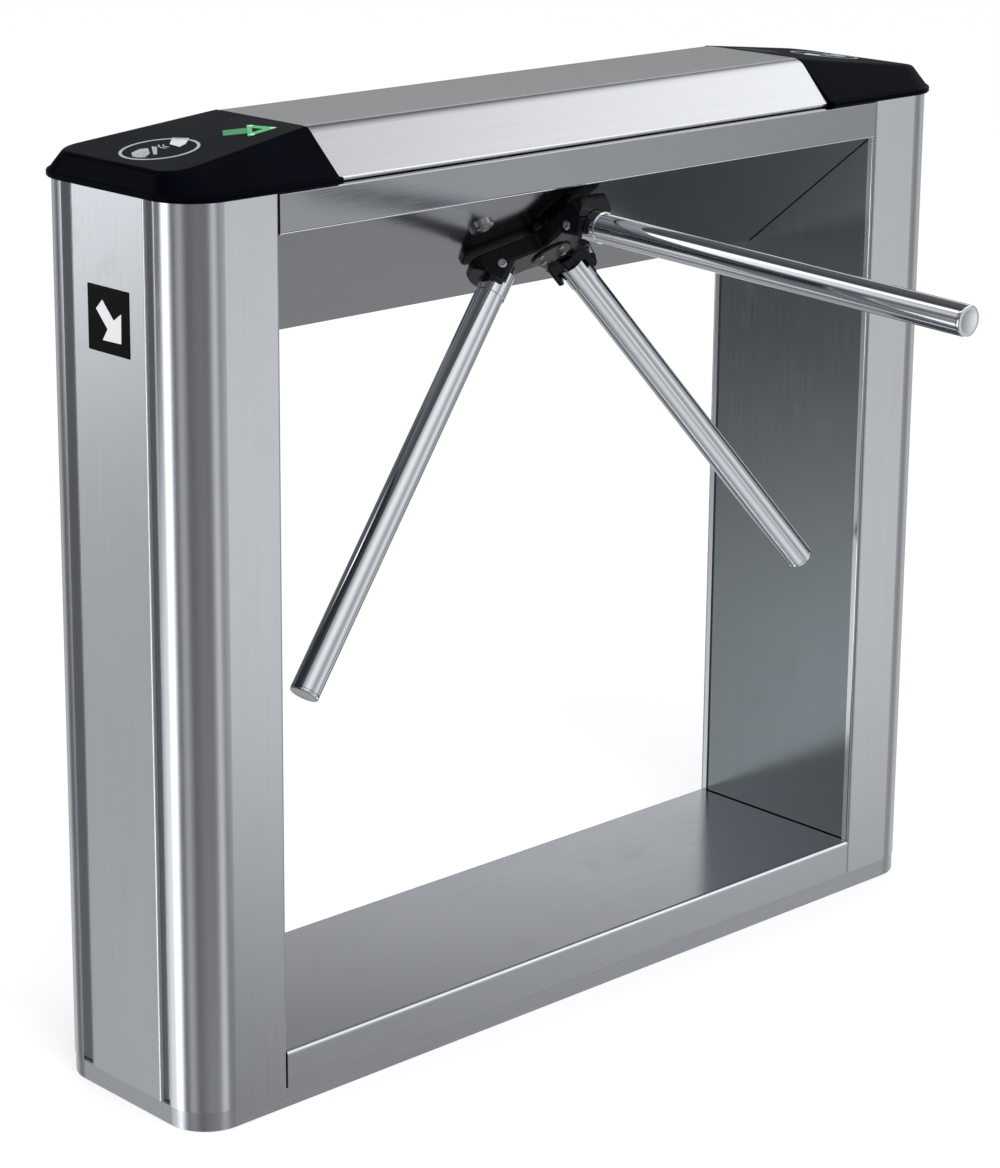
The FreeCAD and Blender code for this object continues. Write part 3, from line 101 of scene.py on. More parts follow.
# %% Shader values as expressions
class Value:
    """One output socket of a shader tree."""

    def __init__(self, tree, socket=None):
        self.tree = tree
        self.socket = socket

    def node(self, kind, settings=None, sockets=None, out=0):
        """Add a node of this kind, set its settings, then fill its sockets, and give back one output."""
        made = self.tree.nodes.new("ShaderNode" + kind)
        for name, setting in (settings or {}).items():
            setattr(made, name, setting)
        for name, value in (sockets or {}).items():
            if isinstance(value, Value):
                self.tree.links.new(value.socket, made.inputs[name])
            else:
                made.inputs[name].default_value = value
        return Value(self.tree, made.outputs[out] if len(made.outputs) else None)

    def out(self, name):
        return Value(self.tree, self.socket.node.outputs[name])

    def math(self, operation, *values):
        return self.node("Math", {"operation": operation}, dict(enumerate(values)))

    def __add__(self, other):
        return self.math("ADD", self, other)

    def __radd__(self, other):
        return self.math("ADD", other, self)

    def __sub__(self, other):
        return self.math("SUBTRACT", self, other)

    def __rsub__(self, other):
        return self.math("SUBTRACT", other, self)

    def __mul__(self, other):
        return self.math("MULTIPLY", self, other)

    def __rmul__(self, other):
        return self.math("MULTIPLY", other, self)

    def __truediv__(self, other):
        return self.math("DIVIDE", self, other)

    def __pow__(self, other):
        return self.math("POWER", self, other)

    def exp(self):
        return self.math("EXPONENT", self)

    def step(self, low, high, start=0.0, finish=1.0):
        """Smooth rise from start to finish as the value goes from low to high."""
        return self.node("MapRange", {"interpolation_type": "SMOOTHSTEP"},
                         {0: self, 1: low, 2: high, 3: start, 4: finish})

    def mix(self, low, high):
        """Colour between low and high, with this value as the share of high."""
        return self.node("Mix", {"data_type": "RGBA"}, {0: self, 6: low, 7: high}, out=2)

    def stretch(self, scale):
        """This vector with each axis multiplied by its own scale."""
        return self.node("VectorMath", {"operation": "MULTIPLY"}, {0: self, 1: scale})

    def noise(self, scale, detail=2.0):
        return self.node("TexNoise", None, {"Vector": self, "Scale": scale, "Detail": detail})


def grey(level, tint=(1.0, 1.0, 1.0)):
    """Colour of one level, tinted."""
    return (level * tint[0], level * tint[1], level * tint[2], 1.0)


print("shader values ready")

# %% [markdown]
# A product studio is a white room with soft boxes. Metal shows nothing but its surroundings, so the room is
# drawn in the world: upright walls of light round the cabinet, boxes overhead, light thrown back by the floor,
# and dimmer gaps between them, which make the streaks on the columns and arms. A rear wall, a right wall and a
# ceiling serve the sides that the photograph doesn't show, and a dark flag takes the light from one direction.
# Mirrors and glass see all this, matt surfaces get an even light, and the camera sees plain white. A height is
# the sine of the elevation, and each step fades a wall in or out between two heights.

# %% Studio
SOFT_LIGHT, GAP_LIGHT, NEVER_ZERO = 0.8, 0.06, 1e-4
world = bpy.data.worlds.new("studio")
bpy.context.scene.world = world
world.use_nodes = True
world.node_tree.nodes.clear()
room = Value(world.node_tree)
way = room.node("TexCoord")
split = room.node("SeparateXYZ", None, {0: way})
east, north, height = split, split.out(1), split.out(2)
flat = (east * east + north * north) ** 0.5 + NEVER_ZERO


def fall_off(toward, half_width, level):
    """Light by the cosine of an angle: level times exp(k (cosine - 1)), halved at half_width degrees."""
    sharp = math.log(2) / (1 - math.cos(math.radians(half_width)))
    return ((toward - 1.0) * sharp).exp() * level


def strip(azimuth, half_width, level):
    """Wall of light in one compass direction, as bright at every height."""
    angle = math.radians(azimuth)
    toward = (east * math.cos(angle) + north * math.sin(angle)) / flat
    return fall_off(toward, half_width, level)


def softbox(azimuth, elevation, half_width, level):
    """Round light about one direction of the sphere."""
    a, e = math.radians(azimuth), math.radians(elevation)
    toward = east * (math.cos(a) * math.cos(e)) + north * (math.sin(a) * math.cos(e)) + height * math.sin(e)
    return fall_off(toward, half_width, level)


end_wall = strip(124, 6, 0.58) * height.step(-0.26, -0.18, 1.0, 3.5)
inner_wall = strip(141, 6, 1.15) * height.step(-0.32, -0.21, 1.0, 0.0)
inner_wall = inner_wall * height.step(-0.60, -0.46, 0.0, 1.0)
side_wall = strip(313, 14, 0.89) * height.step(-0.46, -0.30, 0.17, 1.0)
side_wall = side_wall * height.step(-0.28, -0.15, 1.0, 0.85)
back_wall = strip(46, 26, 0.56) * height.step(0.04, 0.15, 0.08, 0.60)
back_wall = back_wall * height.step(0.28, 0.345, 1.0, 3.2) * height.step(0.365, 0.41, 1.0, 0.05)
streaks = strip(161, 8.5, 2.9) + strip(197, 10, 0.46) + strip(236, 22, 0.12) + strip(278, 8, 0.65)
streaks = streaks * height.step(0.0, 0.3, 1.0, 0.0) * height.step(-0.60, -0.46, 0.12, 1.0)
overhead = softbox(347, 36, 14, 1.28) + softbox(262, 46, 27, 0.95) + softbox(134, 27, 8, 0.95)
floor_bounce = softbox(262, -58, 22, 0.75) + softbox(88, -38, 13, 0.4) + softbox(36, -40, 22, 0.34)
edge_lights = softbox(347, -47, 11, 3.2) + softbox(317, 24, 9, 1.5) + softbox(9, 32, 11, 1.25)
rear_wall = strip(86, 13, 0.42) + strip(45, 20, 0.5)
rear_wall = rear_wall * height.step(-0.58, -0.48, 0.0, 1.0) * height.step(-0.16, -0.08, 1.0, 0.0)
right_wall = strip(0, 16, 0.5) * height.step(-0.50, -0.40, 0.0, 1.0)
right_wall = right_wall * height.step(0.1, 0.3, 1.0, 0.0)
ceiling = height.step(0.89, 0.97, 0.0, 0.6)
flag = 1 - softbox(41, -3, 5, 0.9)
mirror_light = end_wall + inner_wall + side_wall + back_wall + streaks
mirror_light = mirror_light + overhead + floor_bounce + edge_lights
mirror_light = (mirror_light + rear_wall + right_wall + ceiling + GAP_LIGHT) * flag
path = room.node("LightPath")
seen, glossy = path.out("Is Camera Ray"), path.out("Is Glossy Ray")
mirrored = glossy.math("MAXIMUM", glossy, path.out("Is Transmission Ray"))
inside = mirrored * mirror_light + (1 - mirrored) * SOFT_LIGHT
shade = room.node("Background", None, {"Color": (0.97, 0.985, 1.0, 1.0), "Strength": inside})
plain = room.node("Background", None, {"Color": (1.0, 1.0, 1.0, 1.0), "Strength": 1.0})
whole = room.node("MixShader", None, {0: seen, 1: shade, 2: plain})
room.node("OutputWorld", None, {"Surface": whole})

key_data = bpy.data.lights.new("key", "AREA")
key_data.size = 2.6
key_data.energy = 70.0
key = bpy.data.objects.new("key", key_data)
key.location = (-1.2, -2.6, 3.4)
key.rotation_euler = (math.radians(40), 0.0, math.radians(-25))
key.visible_glossy = False
bpy.context.scene.collection.objects.link(key)
bpy.context.scene.view_settings.view_transform = "Standard"
print("studio ready:", len(world.node_tree.nodes), "world nodes")

# %% [markdown]
# Every new piece is a grid of points worked out at once as an array. Quads join neighbours, wrapped ways close
# on themselves, and points that fall together at a pole are merged, so each shell is closed.


# %% Meshes from grids
MERGE_DISTANCE, SLIVER, SHARPEST_CORNER = 1e-6, 1e-7, 0.2


def grid_faces(rows, cols, wrap_rows, wrap_cols):
    """Quads over a grid of point numbers: corner (i, j), then (i + 1, j), (i + 1, j + 1), (i, j + 1)."""
    index = np.arange(rows * cols).reshape(rows, cols)
    if wrap_rows:
        index = np.vstack([index, index[:1]])
    if wrap_cols:
        index = np.hstack([index, index[:, :1]])
    quads = [index[:-1, :-1], index[1:, :-1], index[1:, 1:], index[:-1, 1:]]
    return np.stack(quads, axis=-1).reshape(-1, 4)


def add(name, mesh):
    """Object for a finished mesh, in the scene."""
    made = bpy.data.objects.new(name, mesh)
    bpy.context.scene.collection.objects.link(made)
    print(name, len(mesh.vertices), "points", len(mesh.polygons), "faces")
    return made


def build(name, grids, wrap_rows=False, wrap_cols=True, smooth=35.0):
    """One object from several point grids: doubles merged, normals outward, creases sharper than smooth kept."""
    points, faces, start = [], [], 0
    for grid in grids:
        rows, cols = grid.shape[:2]
        points.append(grid.reshape(-1, 3))
        faces.append(grid_faces(rows, cols, wrap_rows, wrap_cols) + start)
        start += rows * cols
    mesh = bpy.data.meshes.new(name)
    mesh.from_pydata(np.concatenate(points), [], np.concatenate(faces))
    shape = bmesh.new()
    shape.from_mesh(mesh)
    bmesh.ops.remove_doubles(shape, verts=shape.verts, dist=MERGE_DISTANCE)
    bmesh.ops.dissolve_degenerate(shape, edges=shape.edges, dist=SLIVER)
    bmesh.ops.recalc_face_normals(shape, faces=shape.faces)
    shape.to_mesh(mesh)
    shape.free()
    mesh.shade_smooth()
    mesh.set_sharp_from_angle(angle=math.radians(smooth))
    return add(name, mesh)


def axes(origin, x_way, z_way):
    """Frame with its Z along z_way and its X as near x_way as that allows, as a 4 x 3 array: X, Y, Z, origin."""
    z = np.asarray(z_way, float) / np.linalg.norm(z_way)
    x = np.asarray(x_way, float) - z * np.dot(x_way, z)
    x = x / np.linalg.norm(x)
    return np.array([x, np.cross(z, x), z, origin])


def place(local, basis):
    """Points of the local frame basis, given in the shared frame."""
    return local @ basis[:3] + basis[3]


def turned(profile, basis, count=64):
    """Surface of revolution: radius r at height z becomes (r cos t, r sin t, z) for t round the circle."""
    profile = np.asarray(profile, float)
    t = np.linspace(0, 2 * np.pi, count, endpoint=False)
    r, z = profile[:, :1], profile[:, 1:]
    local = np.stack([r * np.cos(t), r * np.sin(t), z + 0 * t], axis=-1)
    return place(local, basis)


def inset(outline, distance):
    """Closed outline moved inwards: each corner goes along the sum of its two edge normals."""
    before = outline - np.roll(outline, 1, axis=0)
    after = np.roll(outline, -1, axis=0) - outline
    before /= np.linalg.norm(before, axis=1, keepdims=True)
    after /= np.linalg.norm(after, axis=1, keepdims=True)
    n0 = np.stack([-before[:, 1], before[:, 0]], axis=1)
    n1 = np.stack([-after[:, 1], after[:, 0]], axis=1)
    spread = 1 + np.sum(n0 * n1, axis=1, keepdims=True)
    return outline + (n0 + n1) / np.maximum(spread, SHARPEST_CORNER) * distance


def layers(rows, basis):
    """Grid of points from flat outlines, each lifted to its own height."""
    return place(np.stack([np.column_stack([row, np.full(len(row), z)]) for row, z in rows]), basis)


def ring(outline, hole, thick, basis, edge):
    """Plate between an outline and a hole of as many points, its upper edges chamfered by edge."""
    rows = [(outline, 0.0), (outline, thick - edge), (inset(outline, edge), thick),
            (inset(hole, -edge), thick), (hole, thick - edge), (hole, 0.0), (outline, 0.0)]
    return layers(rows, basis)


def arc(cx, cy, rx, ry, start, finish, count):
    """Points of an ellipse's arc, angles in degrees."""
    t = np.radians(np.linspace(start, finish, count))
    return np.column_stack([cx + rx * np.cos(t), cy + ry * np.sin(t)])


def plate(name, outlines, thick, basis, edge):
    """Flat plates: each closed outline as a wall of three rows with a face on its top and bottom."""
    points, faces, start = [], [], 0
    for outline in outlines:
        count = len(outline)
        rows = [(outline, 0.0), (outline, thick - edge), (inset(outline, edge), thick)]
        points.append(layers(rows, basis).reshape(-1, 3))
        foot = np.arange(count) + start
        faces += (grid_faces(3, count, False, True) + start).tolist()
        faces += [foot.tolist(), (foot + 2 * count).tolist()]
        start += 3 * count
    mesh = bpy.data.meshes.new(name)
    mesh.from_pydata(np.concatenate(points), [], faces)
    shape = bmesh.new()
    shape.from_mesh(mesh)
    bmesh.ops.triangulate(shape, faces=[f for f in shape.faces if len(f.verts) > 4])
    bmesh.ops.recalc_face_normals(shape, faces=shape.faces)
    shape.to_mesh(mesh)
    shape.free()
    return add(name, mesh)


# %% [markdown]
# The floor is a wide pale sheet. To the camera it is white with the cabinet's soft shadow, and mirrors look
# through it into the studio, so the steel shows the pale room below the horizon as well.

# %% Floor
FLOOR_HALF, FLOOR_DROP = 60.0, 0.0005
span = np.linspace(-FLOOR_HALF, FLOOR_HALF, 3)
floor_x, floor_y = np.meshgrid(span, span, indexing="ij")
floor_points = np.stack([floor_x, floor_y, np.zeros_like(floor_x) - FLOOR_DROP], axis=-1)
floor = build("floor", [floor_points], wrap_cols=False)
floor.visible_glossy = False
floor_paint = bpy.data.materials.new("floor_paint")
floor_paint.use_nodes = True
floor_paint.node_tree.nodes.clear()
paper = Value(floor_paint.node_tree)
camera_ray = paper.node("LightPath", out="Is Camera Ray")
lit = paper.node("BsdfDiffuse", None, {"Color": grey(0.62)})
glow = paper.node("Emission", None, {"Color": grey(1.0), "Strength": 0.5})
bright = paper.node("AddShader", None, {0: lit, 1: glow})
dull = paper.node("BsdfDiffuse", None, {"Color": grey(0.8)})
sheet = paper.node("MixShader", None, {0: camera_ray, 1: dull, 2: bright})
paper.node("OutputMaterial", None, {"Surface": sheet})
floor.data.materials.append(floor_paint)

# %% [markdown]
# The cabinet is stainless sheet with a brushed finish. Brushing leaves fine parallel scratches, so the pattern
# is noise squeezed across the stroke and drawn out along it. It varies the tone, the roughness and a faint bump.
# Sheets are brushed along their length: upright on the pillars, along X on the beams. The inner panels and the
# beam are the same sheet made darker: painted shade.


# %% Brushed steel
def finish_material(name, **constants):
    """Material with one Principled shader: constants go straight to its sockets, varying inputs come later."""
    made = bpy.data.materials.new(name)
    made.use_nodes = True
    made.node_tree.nodes.clear()
    tree = Value(made.node_tree)
    shader = tree.node("BsdfPrincipled", None, constants)
    tree.node("OutputMaterial", None, {"Surface": shader})
    return made, tree, shader


def feed(tree, shader, **links):
    """Link varying values to the shader's sockets, whose names have _ for a space."""
    for name, value in links.items():
        tree.tree.links.new(value.socket, shader.socket.node.inputs[name.replace("_", " ")])


def bump(tree, height, strength, distance):
    return tree.node("Bump", None, {"Height": height, "Strength": strength, "Distance": distance})


UPRIGHT = (1.0, 1.0, 0.012)
LENGTHWISE = (0.012, 1.0, 1.0)
COOL = (0.955, 0.985, 1.03)
SCRATCHES, BANDS, CLOUDS, HAND_MARKS = 1400.0, 160.0, 5.0, 22.0


def brushed(name, stroke, tone, rough, swing=0.10, tint=COOL):
    """Brushed sheet: stroke squeezes the noise, tone and rough are the middle values, swing the contrast."""
    made, tree, shader = finish_material(name, Metallic=1.0)
    spot = tree.node("TexCoord", out="Object")
    scratch = spot.stretch(stroke).noise(SCRATCHES, 3.0)
    band = spot.stretch(stroke).noise(BANDS, 2.0)
    cloud = spot.noise(CLOUDS, 2.0)
    hands = spot.noise(HAND_MARKS, 4.0).step(0.58, 0.78)
    grain = (scratch - 0.5) * swing * 1.6 + (band - 0.5) * swing + (cloud - 0.5) * swing * 0.6 + 0.5
    colour = grain.mix(grey(tone * 0.72, tint), grey(tone * 1.28, tint))
    gloss = (scratch - 0.5) * 0.12 + (cloud - 0.5) * 0.05 + hands * 0.03 + rough
    feed(tree, shader, Base_Color=colour, Roughness=gloss, Normal=bump(tree, scratch, 0.05, 0.0004))
    return made


pillar_steel = brushed("pillar_steel", UPRIGHT, 0.64, 0.17)
end_steel = brushed("end_panel_steel", UPRIGHT, 0.64, 0.23)
# Painted shade: the inner panels are the pillars' sheet at a far darker, bluer tone, for the shade inside the
# passage.
inner_steel_painted_shade = brushed("inner_panel_steel_painted_shade", UPRIGHT, 0.23, 0.17, tint=(0.90, 1.0, 1.06))
# Painted shade: the beam's trough and fascia are the pillars' sheet at about half its tone, darkened for shade.
beam_steel_painted_shade = brushed("beam_steel_painted_shade", LENGTHWISE, 0.34, 0.11)
base_steel = brushed("bottom_beam_steel", LENGTHWISE, 0.60, 0.19)
plinth_steel = brushed("plinth_steel", LENGTHWISE, 0.54, 0.26)
lid_steel = brushed("lid_steel", LENGTHWISE, 0.64, 0.20, tint=(0.975, 0.985, 1.01))


def dress(material, *names):
    """Put a material on CAD nodes."""
    for name in names:
        nodes[name].material_slots[0].material = material
    print(material.name, "on", ", ".join(names))


dress(pillar_steel, "far_pillar_shell", "near_pillar_shell")
dress(end_steel, "far_end_panel", "near_end_panel")
dress(inner_steel_painted_shade, "far_inner_panel", "near_inner_panel")
dress(beam_steel_painted_shade, "beam_trough", "beam_fascia")
dress(base_steel, "base_beam_cover")
dress(plinth_steel, "base_plinth")
dress(lid_steel, "lid")

# %% [markdown]
# The arms are polished stainless tube. A polished tube still carries faint draw lines along its length, seen as
# small changes of tone and gloss, and hand marks that dull it in soft patches.

# %% Polished tube
arm_steel, tree, shader = finish_material("arm_steel", Metallic=1.0)
spot = tree.node("TexCoord", out="Object")
draw = spot.noise(420.0, 2.0)
hands = spot.noise(14.0, 3.0).step(0.45, 0.75)
feed(tree, shader, Base_Color=((draw - 0.5) * 0.3 + 0.5).mix(grey(0.74, COOL), grey(0.92, COOL)),
     Roughness=hands * 0.04 + (draw - 0.5) * 0.02 + 0.055, Normal=bump(tree, draw, 0.02, 0.0002))
dress(arm_steel, "barrier_arm_upper", "barrier_arm_right", "barrier_arm_left", "arm_end_plugs", "arm_collars")

# %% [markdown]
# The caps and the hub are black. The caps are moulded plastic with a fine even grain; the hub is a casting under
# black gloss paint, which shows a slight orange-peel ripple and small rubbed spots.


# %% Black finishes
def black(name, colour, rough, peel_scale, peel, index):
    """Black moulding or paint: fine bump of one scale, with dust and rubbed patches in the roughness."""
    made, tree, shader = finish_material(name, IOR=index)
    spot = tree.node("TexCoord", out="Object")
    peel_height = spot.noise(peel_scale, 2.0)
    dust = spot.noise(9.0, 3.0)
    lighter = tuple(1.8 * part + 0.0004 for part in colour[:3]) + (1.0,)
    feed(tree, shader, Base_Color=dust.step(0.35, 0.85).mix(colour, lighter),
         Roughness=(dust - 0.5) * 0.18 + (peel_height - 0.5) * 0.06 + rough,
         Normal=bump(tree, peel_height, peel, 0.0003))
    return made


cap_black = black("cap_black", (0.0010, 0.0015, 0.0034, 1.0), 0.33, 1500.0, 0.05, 1.07)
hub_black = black("hub_black", (0.0014, 0.0018, 0.0026, 1.0), 0.18, 260.0, 0.03, 1.33)
glass_black = black("window_black", (0.0008, 0.0008, 0.001, 1.0), 0.20, 40.0, 0.01, 1.12)
plastic_black = black("plastic_black", (0.015, 0.015, 0.016, 1.0), 0.45, 900.0, 0.12, 1.45)
rubber_black = black("rubber_black", (0.012, 0.012, 0.012, 1.0), 0.62, 500.0, 0.15, 1.4)
motor_black = black("motor_black", (0.02, 0.02, 0.022, 1.0), 0.38, 700.0, 0.10, 1.48)
dress(cap_black, "far_cap", "near_cap")
dress(hub_black, "tripod_hub", "hub_cover")
dress(cap_black, "far_arrow_lens", "near_arrow_lens")
dress(glass_black, "far_pictogram_window", "near_pictogram_window")
dress(plastic_black, "cable_gland", "encoder_disc", "encoder_sensor")
dress(rubber_black, "shaft_seal")
dress(motor_black, "drive_motor", "lock_solenoids")

# %% [markdown]
# Inside, turned and milled steel carries cutter marks, zinc plating has a crystalline mottle with a faint straw
# tint, and cast or extruded alloy is matt with a fine speckle. One function covers them with other numbers.


# %% Bare metals
def bare_metal(name, low, high, rough, mark_scale, mark):
    """Bare metal: marks of one scale change tone and gloss, and a coarse cloud mottles it."""
    made, tree, shader = finish_material(name, Metallic=1.0)
    spot = tree.node("TexCoord", out="Object")
    marks = spot.noise(mark_scale, 3.0)
    mottle = spot.node("TexVoronoi", None, {"Vector": spot, "Scale": mark_scale * 0.25}, out="Color")
    tone = tree.node("SeparateColor", None, {0: mottle})
    share = (marks - 0.5) * 0.8 + (tone - 0.5) * 0.35 + 0.5
    feed(tree, shader, Base_Color=share.mix(low, high), Roughness=(marks - 0.5) * 0.2 + rough,
         Normal=bump(tree, marks, mark, 0.0003))
    return made


machined = bare_metal("machined_steel", (0.36, 0.37, 0.39, 1), (0.58, 0.59, 0.6, 1), 0.28, 700.0, 0.08)
zinc = bare_metal("zinc_steel", (0.40, 0.40, 0.38, 1), (0.58, 0.59, 0.57, 1), 0.36, 420.0, 0.06)
alloy = bare_metal("alloy", (0.46, 0.47, 0.48, 1), (0.66, 0.67, 0.68, 1), 0.46, 1100.0, 0.12)
chrome = bare_metal("lock_chrome", (0.58, 0.59, 0.61, 1), (0.7, 0.71, 0.73, 1), 0.16, 300.0, 0.02)
dress(machined, "main_shaft", "bearing_outer_races", "bearing_inner_races", "lock_disc", "drive_gear",
      "shaft_collar", "motor_pinion", "left_lock_pawl", "right_lock_pawl", "pawl_pivots",
      "left_solenoid_plunger", "right_solenoid_plunger")
dress(zinc, "lid_hinge_leaves", "lid_hinge_straps", "lid_hinge_pins", "lid_latch_hook", "lid_lock_cam",
      "solenoid_brackets")
dress(alloy, "mechanism_plate", "plate_standoffs", "bearing_housing", "board_standoffs", "power_supply")
dress(chrome, "lid_lock_barrel")

# %% [markdown]
# The circuit boards are green lacquer over copper: paler tracks run in straight lines under it, and small pads
# shine through. A brick pattern turned on its side gives the tracks.

# %% Circuit boards
board_green, tree, shader = finish_material("board_green", **{"Specular IOR Level": 0.5})
spot = tree.node("TexCoord", out="Object")
tracks = tree.node("TexBrick", {"offset": 0.5}, {
    "Vector": spot, "Color1": (0.012, 0.085, 0.035, 1), "Color2": (0.015, 0.10, 0.04, 1),
    "Mortar": (0.03, 0.16, 0.06, 1), "Scale": 90.0, "Mortar Size": 0.03, "Brick Width": 0.9})
pads = tree.node("TexVoronoi", None, {"Vector": spot, "Scale": 260.0})
dots = pads.step(0.18, 0.12)
feed(tree, shader, Base_Color=dots.mix(tracks, (0.55, 0.5, 0.36, 1)), Roughness=dots * -0.1 + 0.35,
     Normal=bump(tree, dots, 0.2, 0.0002))
dress(board_green, "control_board", "far_pictogram_board", "near_pictogram_board", "far_reader_board",
      "near_reader_board")

# %% [markdown]
# The signs are prints and lit shapes on black. Ink on plastic wears in small specks, so the print thins where a
# fine noise is high. The lit arrow is a green lens with a lamp behind it: it glows by itself, a little unevenly.


# %% Prints and lit shapes
def print_ink(name, colour, worn, glow):
    """Ink of one colour that lets specks of the worn colour through, with a glow: a lamp behind lit shapes,
    painted glow on plain prints.
    """
    made, tree, shader = finish_material(name, **{"Emission Strength": glow})
    spot = tree.node("TexCoord", out="Object")
    speck = spot.noise(1800.0, 3.0)
    patch = spot.noise(120.0, 2.0)
    thin = (speck * 0.6 + patch * 0.4).step(0.50, 0.72)
    tone = thin.mix(colour, worn)
    feed(tree, shader, Base_Color=tone, Emission_Color=tone, Roughness=(speck - 0.5) * 0.2 + 0.5,
         Normal=bump(tree, speck, 0.1, 0.0001))
    return made


white_ink = print_ink("window_white", (0.86, 0.87, 0.88, 1), (0.74, 0.75, 0.77, 1), 0.10)
# Painted glow: the reader sign and card are prints with no lamp, but their ink gets a faint emission.
sign_ink_painted_glow = print_ink("sign_ink_painted_glow", (0.42, 0.47, 0.48, 1), (0.10, 0.12, 0.14, 1), 0.02)
dim_green = print_ink("arrow_green_dim", (0.05, 0.23, 0.09, 1), (0.035, 0.15, 0.06, 1), 0.30)
lit_green = print_ink("arrow_green_lit", (0.09, 0.37, 0.15, 1), (0.06, 0.26, 0.10, 1), 0.35)
lamp_green = print_ink("lamp_green", (0.30, 0.66, 0.42, 1), (0.2, 0.5, 0.3, 1), 0.4)
off_green = print_ink("arrow_green_off", (0.012, 0.035, 0.018, 1), (0.008, 0.022, 0.012, 1), 0.0)
card_ink_painted_glow = print_ink("card_ink_painted_glow", (0.66, 0.72, 0.74, 1), (0.36, 0.42, 0.44, 1), 0.06)
print("inks ready")


def finish_piece(piece, material, body, slot, *stands_for):
    """Dress a new piece, let it ride on its body and hide the solids that it stands for; slot is not used."""
    piece.data.materials.append(material)
    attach(piece, body)
    if stands_for:
        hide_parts(*stands_for)


# %% [markdown]
# Each end of the cabinet tells people where to walk: a white arrow on the black window points down to the
# passage side. Both ends are the same piece turned half round, so one outline serves both, in millimetres along
# and across the arrow.

# %% Window arrows
MM = 0.001
PRINT, PRINT_EDGE, SUNK = 0.00030, 0.0001, 0.00005
WINDOW_FACE, WINDOW_HEIGHT = 0.5566, 0.831
ARROW_SCALE, ARROW_BACK, DIAGONAL = 0.87, 0.0020, 0.7071
ENDS = (("near", -1.0), ("far", 1.0))
arrow = np.array([(-21.3, -8.2), (8, -8.2), (11.2, -24.7), (34.8, 0), (11.2, 24.7), (8, 8.2), (-21.3, 8.2)]) * MM
shifted = arrow * ARROW_SCALE - np.array([ARROW_BACK, 0.0])
for end, side in ENDS:
    middle = (side * (WINDOW_FACE - SUNK), 0.0, WINDOW_HEIGHT)
    face = axes(middle, (0, side * DIAGONAL, -DIAGONAL), (side, 0, 0))
    film = plate(end + "_window_arrow", [shifted], PRINT, face, PRINT_EDGE)
    finish_piece(film, white_ink, "housing", "window_black")

# %% [markdown]
# The top of each cap carries a reader sign: a ring with a hand that holds a card to the reader. It is printed,
# so it is a raised film of three tenths of a millimetre. The ring is a band between two circles; the hand, the
# card and the two waves are flat outlines in millimetres.

# %% Reader signs
CAP_TILT = math.radians(7.0)
SEAM_X, CAP_TOP = 0.3628, 1.010
cap_frames = {}
for end, side in ENDS:
    cap_x = np.array([side * math.cos(CAP_TILT), 0.0, -math.sin(CAP_TILT)])
    cap_z = np.array([side * math.sin(CAP_TILT), 0.0, math.cos(CAP_TILT)])
    cap_frames[end] = axes((side * SEAM_X, 0.0, CAP_TOP), cap_x, cap_z)
SIGN = np.array([133.0, 6.0])
SIGN_RADIUS, SIGN_BAND, SIGN_SCALE = 40.0, 3.2, 0.9
WAVE_MIDDLE, WAVE_FROM, WAVE_TO, WAVE_POINTS, WAVE_WIDTH = (-22, -2), -52, 22, 12, 1.8
card = np.array([(-38.5, -26.6), (-19.4, -6.8), (-17.3, 13.0), (-29.7, 8.4), (-46.9, -7.4)])
hand = np.array([(26.6, -15.2), (35.2, -2.3), (35.7, 6.0), (30.8, 14.4), (17.3, 5.2), (4.4, -14.6),
                 (11.8, -20.2)])
finger = np.array([(-2.4, -17.1), (18.3, 12.6), (16.1, 16.5), (-4.1, -9.5)])
turn = np.linspace(0, 2 * np.pi, 72, endpoint=False)
circle = np.column_stack([np.cos(turn), np.sin(turn)])


def wave(radius):
    """Band of an arc: its outer arc one way, its inner arc back."""
    inner = radius - WAVE_WIDTH
    return np.vstack([arc(*WAVE_MIDDLE, radius, radius, WAVE_FROM, WAVE_TO, WAVE_POINTS),
                      arc(*WAVE_MIDDLE, inner, inner, WAVE_TO, WAVE_FROM, WAVE_POINTS)])


for end, basis in cap_frames.items():
    lifted = basis.copy()
    lifted[3] = place(np.array([SIGN[0] * MM, SIGN[1] * MM, -SUNK]), basis)
    band = ring(circle * SIGN_RADIUS * MM, circle * (SIGN_RADIUS - SIGN_BAND) * MM, PRINT, lifted, PRINT_EDGE)
    finish_piece(build(end + "_sign_ring", [band]), sign_ink_painted_glow, "housing", "cap_black")
    shapes = [outline * SIGN_SCALE * MM for outline in (hand, finger, wave(13), wave(18))]
    film = plate(end + "_sign_hand", shapes, PRINT, lifted, PRINT_EDGE)
    finish_piece(film, sign_ink_painted_glow, "housing", "cap_black")
    film = plate(end + "_sign_card", [card * SIGN_SCALE * MM], PRINT, lifted, PRINT_EDGE)
    finish_piece(film, card_ink_painted_glow, "housing", "cap_black")

# %% [markdown]
# Beside the sign a green arrow lights up when the way is free. Its tail is a dim bar, its head a bright outline
# round a dark middle, with three brighter lamps at the head's corners. Each lamp is a shallow dome. The way is
# free from the near end, so the arrow of the far end is off.

# %% Lit arrows
tail = np.array([(-27, -11), (-3.2, -11), (-3.2, 11), (-27, 11)])
head = np.array([(-3, -24), (27, 0), (-3, 24)])
hollow = np.array([(2.0, -9.5), (13.5, 0), (2.0, 9.5)])
lamps = np.array([(1.2, -18.0), (22.0, 0.0), (1.2, 18.0)])


def dome(basis, spot, radius, rise):
    """Shallow lamp: radius r cos(a), height rise sin(a), closed by a flat foot."""
    a = np.linspace(0, np.pi / 2, 7)
    profile = np.vstack([[(0.0, 0.0)], np.column_stack([radius * np.cos(a), rise * np.sin(a)])])
    seat = basis.copy()
    seat[3] = place(np.array([spot[0], spot[1], 0.0]), basis)
    return turned(profile, seat, 20)


